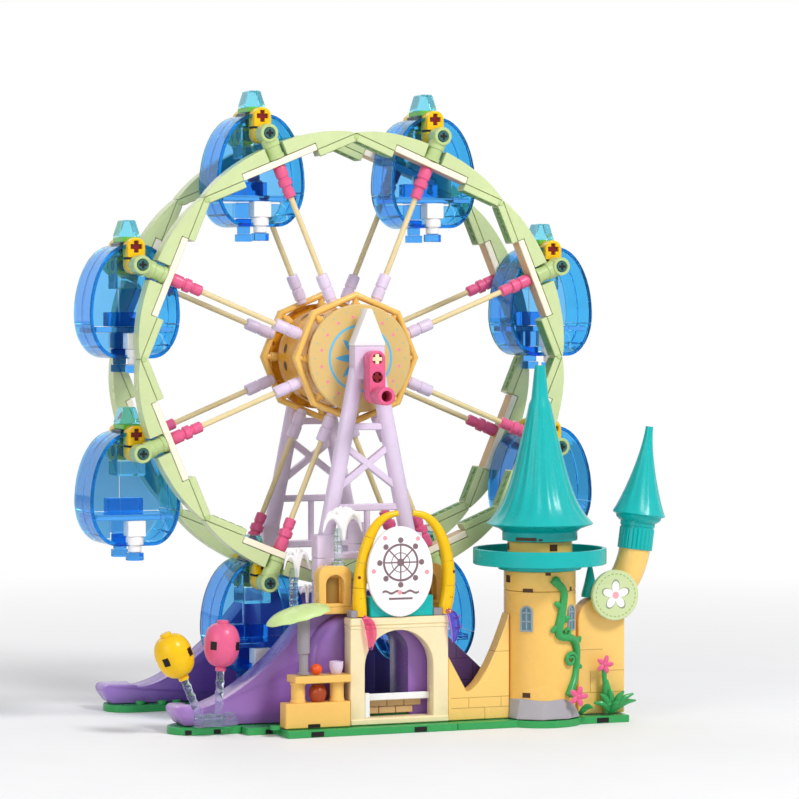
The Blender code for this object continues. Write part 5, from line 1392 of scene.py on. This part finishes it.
def fluted(bm, count, low, high, depth=0.022):
    """Soft flutes round the Z axis between two heights."""
    def factor_at(height, angle):
        if not low < height < high:
            return 1
        return 1 + depth * math.sin(math.pi * (height - low) / (high - low)) ** 0.5 * math.cos(count * angle)
    return swelled(bm, factor_at)


def roof(radius, height, collar_radius, collar_height, tip, flare, power, tip_height=0.0):
    """A hollow-sided roof from its collar up: the flare is the part of its width that opens near the rim."""
    edge = collar_height + 1.4
    profile = [(0, 0), (collar_radius, 0), (collar_radius, collar_height - 2.2)]
    profile += [(collar_radius + 1.6, collar_height - 0.9), (radius - 1.6, collar_height + 0.5)]
    profile += [(radius - 0.3, collar_height + 1.0)]
    for step in ways(0, 1, 36):
        share = 1 - step**1.3
        width = tip + (radius - tip) * ((1 - flare) * share**power + flare * share**10)
        if height * share < tip_height:
            width = tip + 1.6 * share * height / tip_height
        profile.append((width, edge + height * (1 - share)))
    return turned(profile + [(0, edge + height + 0.02)], steps=108)


main_roof = fluted(roof(23.8, 70, ROOF_COLLAR, 6.0, 2.35, 0.28, 1.27, 15.5), 18, 7.6, 58)
main_roof = pointed(main_roof, (*TOWER, 81.8), (*TOWER, 99))
piece("tower_roof", [main_roof], TEAL, "base", "tower_roof", crease=24)

# %% [markdown]
# Windows and marks are made flat, facing forwards, and then carried to their place on the drum by one
# function. A window is a pierced frame with three bars in front of its glass.

# %% Tower windows and marks
def on_tower(bm, degrees, out=TOWER_RADIUS):
    """Turns a shape drawn facing forwards at the origin to face outwards at an angle on the tower."""
    angle = math.radians(degrees)
    place = Matrix.Translation((*polar(out, angle, TOWER), 0))
    return moved(bm, place @ Matrix.Rotation(angle + math.pi / 2, 4, "Z"))


def window_loop(half, low):
    return [(-half, low), (half, low), *arc((0, 50.75), half, 0, math.pi, 12)]


frames, glasses = [], []
for degrees in (-134.5, -53):
    shapes = [pierced([window_loop(2.95, 42.2), window_loop(2.2, 42.9)], (-0.5, 0.9), 0.12, 0)]
    for x, z in (((-0.3, 0.3), (43, 52.6)), ((-2.2, 2.2), (46.4, 47.0)), ((-2.2, 2.2), (50.2, 50.8))):
        shapes.append(block(x, (-0.35, 0.3), z, 0.1))
    frames += [on_tower(shape, degrees) for shape in shapes]
    glasses.append(on_tower(slab(window_loop(2.2, 42.9), (-0.1, 0.8), 0), degrees))
piece("tower_window_frames", frames, WINDOW_GREY)
piece("tower_window_glass", glasses, WINDOW_GLASS)

marks = []
for degrees, out, width, low, high in (
    (-132.5, TOWER_RADIUS, 4.7, 59.5, 61.2), (-134.7, TOWER_RADIUS, 3.6, 13.0, 15.2),
    (-55, TOWER_RADIUS, 1.6, 59.9, 61.5), (-100, TOWER_RADIUS, 2.4, 67.0, 68.3),
    (-88.5, NECK_RADIUS, 3.6, 77.6, 80.6), (-135, ROOF_COLLAR, 9.5, 82.3, 83.7),
    (-34, ROOF_COLLAR, 2.4, 82.3, 83.9), (-112, ROOF_COLLAR, 1.6, 82.2, 83.2),
    (-174, TOWER_RADIUS, 3.4, 63.4, 66.6), (170.6, NECK_RADIUS, 3.4, 77.6, 80.6),
):
    marks.append(on_tower(block((-width / 2, width / 2), (-0.08, 1.8), (low, high), 0), degrees, out))
piece("tower_dark_marks", marks, DARK_BROWN)

# %% [markdown]
# A grey rock with flat faces lies round the foot of the tower. It is the convex hull of a few corners near
# the ground and a few higher ones.

# %% Rock
FOOT_CORNERS = ((58.4, -58), (59.4, -66.2), (68.6, -73.5), (81.4, -73.2), (89.8, -66.8), (91.8, -58))
TOP_CORNERS = ((59.0, -58.5, 12.2), (61.2, -66.0, 12.6), (69.6, -72.2, 11.4), (79.6, -72.0, 12.3),
               (86.6, -66.9, 9.8), (88.4, -58.5, 8.6))
rock = bmesh.new()
for corner in [(x, y, SEAT + 0.05) for x, y in FOOT_CORNERS] + list(TOP_CORNERS):
    rock.verts.new(corner)
hull = bmesh.ops.convex_hull(rock, input=rock.verts)
spare = [item for item in hull["geom_interior"] if isinstance(item, bmesh.types.BMVert)]
bmesh.ops.delete(rock, geom=spare, context="VERTS")
bmesh.ops.recalc_face_normals(rock, faces=rock.faces)
piece("tower_rocks", [ease(rock, 0.35)], ROCK, crease=20)

# %% [markdown]
# A green vine climbs over the tower's front: a rod through a few knots laid on the drum, with curled
# tendrils and small leaves. Blades and a thick stalk of the same green stand beside the tower.

# %% Vine and plants
def on_drum(across, height, lift=0.85):
    reach = TOWER_RADIUS + lift
    return Vector((TOWER[0] + across, TOWER[1] - math.sqrt(reach**2 - across**2), SEAT + height))


def curl(across, height, size, turns, start):
    """A spiral tendril lying on the drum."""
    points, steps = [], turns * 16
    for step in range(int(steps) + 1):
        place = polar(size * (1 - step / steps * 0.72), start + step * math.pi / 8, (across, height))
        points.append(on_drum(*place, 1.2))
    return bent_rod(points, along(points, lambda share: 0.95 - 0.35 * share))


def blade(root, tip):
    middle = (Vector(root) + Vector(tip)) / 2 + Vector((0, -0.8, 1.8))
    path = flowing([root, middle, tip], 6)
    radii = along(path, lambda share: 2.0 * (0.35 + 0.65 * math.sin(math.pi * share)) * (1 - 0.6 * share))
    return bent_rod(path, radii)


knots = [(-0.8, 61.8), (4.6, 56), (3.4, 46.5), (2.2, 37.2), (10, 35), (13, 29), (12, 19), (7.5, 10)]
vine = [on_drum(point.x, point.y) for point in flowing([(across, height, 0) for across, height in knots], 8)]
vine_radii = [2.0 - 0.35 * math.sin(3 * math.pi * share) ** 2 for share in ways(0, 1, len(vine) - 1)]
greens = [bent_rod(vine, vine_radii, 6)]
greens += [curl(8.6, 26.0, 3.2, 1.4, 0.2), curl(0.2, 61.0, 1.6, 0.9, 0.0), curl(6.2, 38.6, 2.2, 1.1, 3.6)]
leaves = ((1.8, 50.5, 0.5), (0, 40, -0.6), (15.2, 33.5, -0.9), (14.6, 22.5, 0.4), (5.6, 44, 2.6))
for across, height, turn in leaves:
    greens.append(ball(on_drum(across, height, 1.0), (2.4, 0.8, 1.4), 16, Matrix.Rotation(turn, 4, "Y")))
tips = [(97.5, -64.5, 9), (100, -66, 13), (104, -67, 15.5), (111, -67, 14), (116.5, -65, 12.5)]
tips += [(119, -62, 9), (107, -69, 9)]
greens += [blade((106.5, -63, 4.2), tip) for tip in tips]
greens.append(blade((91, -63, 4.2), (93.5, -72, 8)))
stalk = [(104.6, -62.6, 4), (104.9, -63, 12), (103.4, -63.2, 18), (102.8, -63.4, 24.5)]
greens.append(bent_rod(flowing(stalk), 1.15, 4))
greens.append(rod((105, -62.8, 8), (103.8, -63.0, 19), 3.6, 1.2, 16, 0))
piece("vine_and_plants", greens, LEAF)

# %% [markdown]
# Two pink star flowers of five petals grow at the rock and on the stalk.

# %% Flowers
def star_flower(centre, size):
    shapes = [ball(centre, (size * 0.3, size * 0.34, size * 0.3), 12)]
    for index in range(5):
        turn = Matrix.Translation(centre) @ Matrix.Rotation(index * 2 * math.pi / 5 + 0.3, 4, "Y")
        shapes.append(moved(ball((0, -0.3, size * 0.55), (size * 0.3, size * 0.16, size * 0.52), 14), turn))
    return shapes


piece("star_flowers", star_flower((85.4, -74.4, 13.6), 4.4) + star_flower((102.8, -64.2, 26.0), 4.0), PINK)

# %% [markdown]
# ## Castle walls and the leaning turret
# Golden walls run from the gate to the tower, with a hollow dip, and on to a turret. The fine joints between
# their bricks are drawn by the finish, as bands of height and of width.

# %% Walls with brick joints
JOINT_HALF = 0.14
ROWS = [(33.3, 49.5, 59), (13.3, 31, 59), (8.8, 31, 59), (13.1, 92, 115), (22.7, 104, 115), (32.3, 92, 104)]
UPRIGHTS = [(39.4, 8.8, 13.3), (54.8, 8.8, 13.3), (47, 3.4, 8.8), (104, 3.4, 13.1), (98, 13.1, 22.7)]
WALL_Y = (-59.6, -51.6)


def wall_finish():
    """Golden plastic with joints: rows are (z, from x, to x) and uprights are (x, from z, to z)."""
    material, wire, shader, place = new_finish("gold_wall_plastic")
    x, z = ways_from(wire, place)
    lines = [
        one.between(at - JOINT_HALF, at + JOINT_HALF) * other.between(low, high)
        for one, other, joints in ((z, x, ROWS), (x, z, UPRIGHTS))
        for at, low, high in joints
    ]
    ground = wire.noise(place, 24, 4).blend(toned("#F8CB70", 0.95), toned("#F8CB70", 1.04))
    moulded(shader, place, overprint(ground, (lines[0].joined(*lines[1:]) * 0.75, "#9A6A24")), 0.26, MILK)
    return material


WALL_GOLD = wall_finish()
dip = [(38.5 + 20.2 * s, SEAT + 12.5 + 34 * s**1.7) for s in ways(1, 0, 18)]
curved = [(29.7, SEAT), (58.7, SEAT), *dip, (29.7, SEAT + 28.4)]
piece("curved_wall", [slab(curved, WALL_Y, 0.35)], WALL_GOLD, "base", "curved_wall")

# %% [markdown]
# The turret leans outwards on a bent pipe, which rises from the side wall in an elbow. A ribbed teal collar
# and the smaller roof finish it, and a round emblem hides the joint of pipe and wall.

# %% Turret
LEAN_START, LEAN_END, PIPE_LENGTH, PIPE_STEPS = 52, 7.5, 28.4, 18


def leaning(degrees):
    return Vector((math.sin(math.radians(degrees)), 0, math.cos(math.radians(degrees))))


side_outline = [(92.1, SEAT), (114.7, SEAT), (114.7, 55.5), *arc((102.1, 45.5), 10, math.pi / 2, math.pi, 12)]
pipe = [Vector((107.9, -55.6, 53.9))]
for step in range(PIPE_STEPS):
    heading = LEAN_START + (LEAN_END - LEAN_START) * (step + 0.5) / PIPE_STEPS
    pipe.append(pipe[-1] + leaning(heading) * PIPE_LENGTH / PIPE_STEPS)
side_wall = [slab(side_outline, WALL_Y, 0.35), bent_rod(pipe, 7.0, 10)]
piece("side_wall", side_wall, WALL_GOLD, "base", "side_tower")

x, z = EMBLEM_AT
emblem = [rod((x, -64.6, z), (x, -62.2, z), 11.3, sides=64, edge=0.4), rod((x, -62.3, z), (x, -58, z), 4.0)]
piece("emblem", emblem, EMBLEM)
cone = [(0, 0), (3.9, 0), (3.9, 1.2), (2.6, 6), (1.0, 13.6), (0.6, 14.4), (0, 14.4)]
piece("small_cone", [shifted(standing(cone, 99.5, -55.6), (0, 0, 55.6))], TEAL)

ribs = [(0, 0), (7.6, 0), (7.8, 0.3), (7.8, 9.4), (7.4, 9.7), (7.4, 10.2), (7.8, 10.5), (7.8, 12.5)]
collar = swelled(
    turned(ribs + [(0, 12.5)], steps=96),
    lambda height, angle: 0.94 + 0.06 * (math.cos(24 * angle) > -0.3) if height < 9.5 else 1,
)
side_roof = fluted(roof(11.9, 39.5, 8.3, 2.0, 1.7, 0.06, 1.58), 12, 3.6, 34)
lean = leaning(LEAN_END)
foot = pipe[-1] - lean * 1.6
top = foot + lean * 12.55
piece("turret_collar", [pointed(collar, foot, foot + lean)], TEAL, crease=24)
piece("turret_roof", [pointed(side_roof, top, top + lean)], TEAL, "base", "side_roof", crease=24)

# %% [markdown]
# ## The booth, its leaf and the balloons
# To the left of the gate stands a counter with a pot between its posts, and a cup and an orange ball on its
# board. All of them but the two boards are turned shapes.

# %% Booth
counter = [block((-46.5, -16.9), (-62, -54), (SEAT, 14.45), 0.4)]
counter.append(block((-42.8, -17.1), (-63.9, -52.1), (23.0, 26.2), 0.4))
post = [(0, 14.5), (3.4, 14.5), (3.4, 15.4), (3.1, 15.7), (3.1, 21.8), (3.4, 22.1), (3.4, 22.95), (0, 22.95)]
counter += [standing(post, x, -58) for x in (-39.6, -21.8)]
pot = [(0, 14.5), (2.7, 14.5), (3.6, 16.4), (3.9, 18.6), (3.3, 20.6), (2.4, 21.4), (2.9, 22.0), (0, 22.0)]
cup = [(0, 26.25), (2.0, 26.25), (2.3, 26.6), (3.0, 29.0), (3.1, 31.6), (2.7, 31.7), (2.5, 29.4), (0, 28.8)]
piece("booth_counter", counter, GOLD, "base", "booth")
piece("pot", [standing(pot, -30.6, -58, 32)], RED_BROWN)
piece("orange_ball", [ball((-31.4, -58.6, 28.6), (2.6, 2.6, 2.4))], ORANGE)
piece("cup", [standing(cup, -22.2, -58.4)], LAVENDER)

# %% [markdown]
# A big leaf on a grey pole gives shade. It is the upper half of a flattened ball, cut by a plane and given a
# thickness, with ten low waves towards its rim.

# %% Leaf canopy
def canopy():
    bm = ball((0, 0, 0), (14.6, 11, 5), 48)
    everything = bm.verts[:] + bm.edges[:] + bm.faces[:]
    bmesh.ops.bisect_plane(bm, geom=everything, plane_co=(0, 0, 0), plane_no=(0, 0, 1), clear_inner=True)
    bmesh.ops.solidify(bm, geom=bm.faces[:], thickness=1.2)
    for vert in bm.verts:
        away = math.hypot(vert.co.x / 14.6, vert.co.y / 11)
        vert.co.z += 0.16 * away * math.cos(10 * math.atan2(vert.co.y, vert.co.x))
    bmesh.ops.recalc_face_normals(bm, faces=bm.faces)
    return moved(bm, Matrix.Translation((-39.3, -58, 51.2)) @ Matrix.Rotation(math.radians(-13.5), 4, "Y"))


pole = [(0, 26.4), (2.6, 26.4), (2.6, 27.4), (2.0, 27.7), (2.0, 35.4), (2.7, 35.7), (2.7, 53.5), (0, 53.5)]
piece("leaf_canopy", [canopy()], PALE_LEAF, "base", "umbrella")
piece("canopy_pole", [standing(pole, -37, -58)], STONE)

# %% [markdown]
# A balloon is turned in one go round its own leaning axis: neck, body with a fine joint at its widest line,
# and a stub on top. Four little black blocks at the joint are painted shade in its openings. Its clear stem
# has rings like a bamboo.

# %% Balloons
def balloon_profile(stem, radius, height):
    body = []
    for step in range(1, 32):
        t = math.pi * step / 32
        width = radius * math.sin(t) ** 0.66 * (1 - 0.02 * math.cos(t)) - (0.22 if step == 16 else 0)
        body.append((width, stem + height / 2 * (1 - math.cos(t))))
    body = [point for point in body if point[0] > 2.4]
    neck = [(0, stem - 1.8), (2.3, stem - 1.8), (2.3, stem - 0.2), (1.9, stem + 0.1)]
    top = stem + height
    return neck + body + [(2.5, top - 0.2), (2.5, top + 0.9), (2.2, top + 1.2), (0, top + 1.2)]


def stem_profile(stem):
    rings, level = [(0, 2), (1.9, 2)], 2.6
    while level < stem - 4:
        rings += [(1.7, level), (1.95, level + 0.5), (1.95, level + 1.2), (1.7, level + 1.7)]
        level += 4.4
    return rings + [(1.7, stem - 1.9), (0, stem - 1.9)]


def balloon(name, node, x, degrees, stem, radius, finish, height=19):
    foot = Vector((x, -41.8, 6.0))
    ahead = foot + leaning(degrees)
    body = turned(balloon_profile(stem, radius, height), foot, ahead, 48)
    piece(name, [body], finish, "base", node, crease=26)
    waist = stem + height / 2
    holes = []
    # Painted shade: black blocks in the balloon's openings.
    for index in range(4):
        hole = block((-1.45, 1.45), (-radius - 0.1, -radius * 0.7), (waist - 1.8, waist + 1.8), 0.1)
        turn = Matrix.Rotation(math.radians(45 + 90 * index), 4, "Z")
        holes.append(pointed(moved(hole, turn), foot, ahead))
    piece(name + "_openings", holes, PAINTED_SHADE_BLACK)
    socket = turned([(0, -2.2), (3.4, -2.2), (3.4, 2.4), (3.0, 2.8), (0, 2.8)], steps=24)
    piece(name + "_stem", [turned(stem_profile(stem), foot, ahead, 20), shifted(socket, foot)], CLEAR)


balloon("yellow_balloon", "balloon_yellow", -78.0, -23, 22.0, 8.2, YELLOW)
balloon("pink_balloon", "balloon_pink", -70.6, 3, 23.5, 7.8, PINK)
round_brick = [(0, 0), (4.0, 0), (4.0, 3.0), (2.4, 3.3), (2.4, 5.0), (0, 5.0)]
rounds = [shifted(standing(round_brick, x, y, 24), (0, 0, 4.6)) for x, y in ((-75, -45.5), (-66.5, -44.5))]
piece("clear_round_bricks", rounds, CLEAR)

# %% [markdown]
# ## The last look
# The dressed model keeps the size of the frame. Both boxes are written down, so that they can be compared.

# %% Sizes, and the end
scene_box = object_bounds()


def as_list(value):
    return [as_list(v) for v in value] if hasattr(value, "__len__") else float(value)


{"cad": as_list(cad_box), "scene": as_list(scene_box)}
print("frame box", as_list(cad_box))
print("scene box", as_list(scene_box))
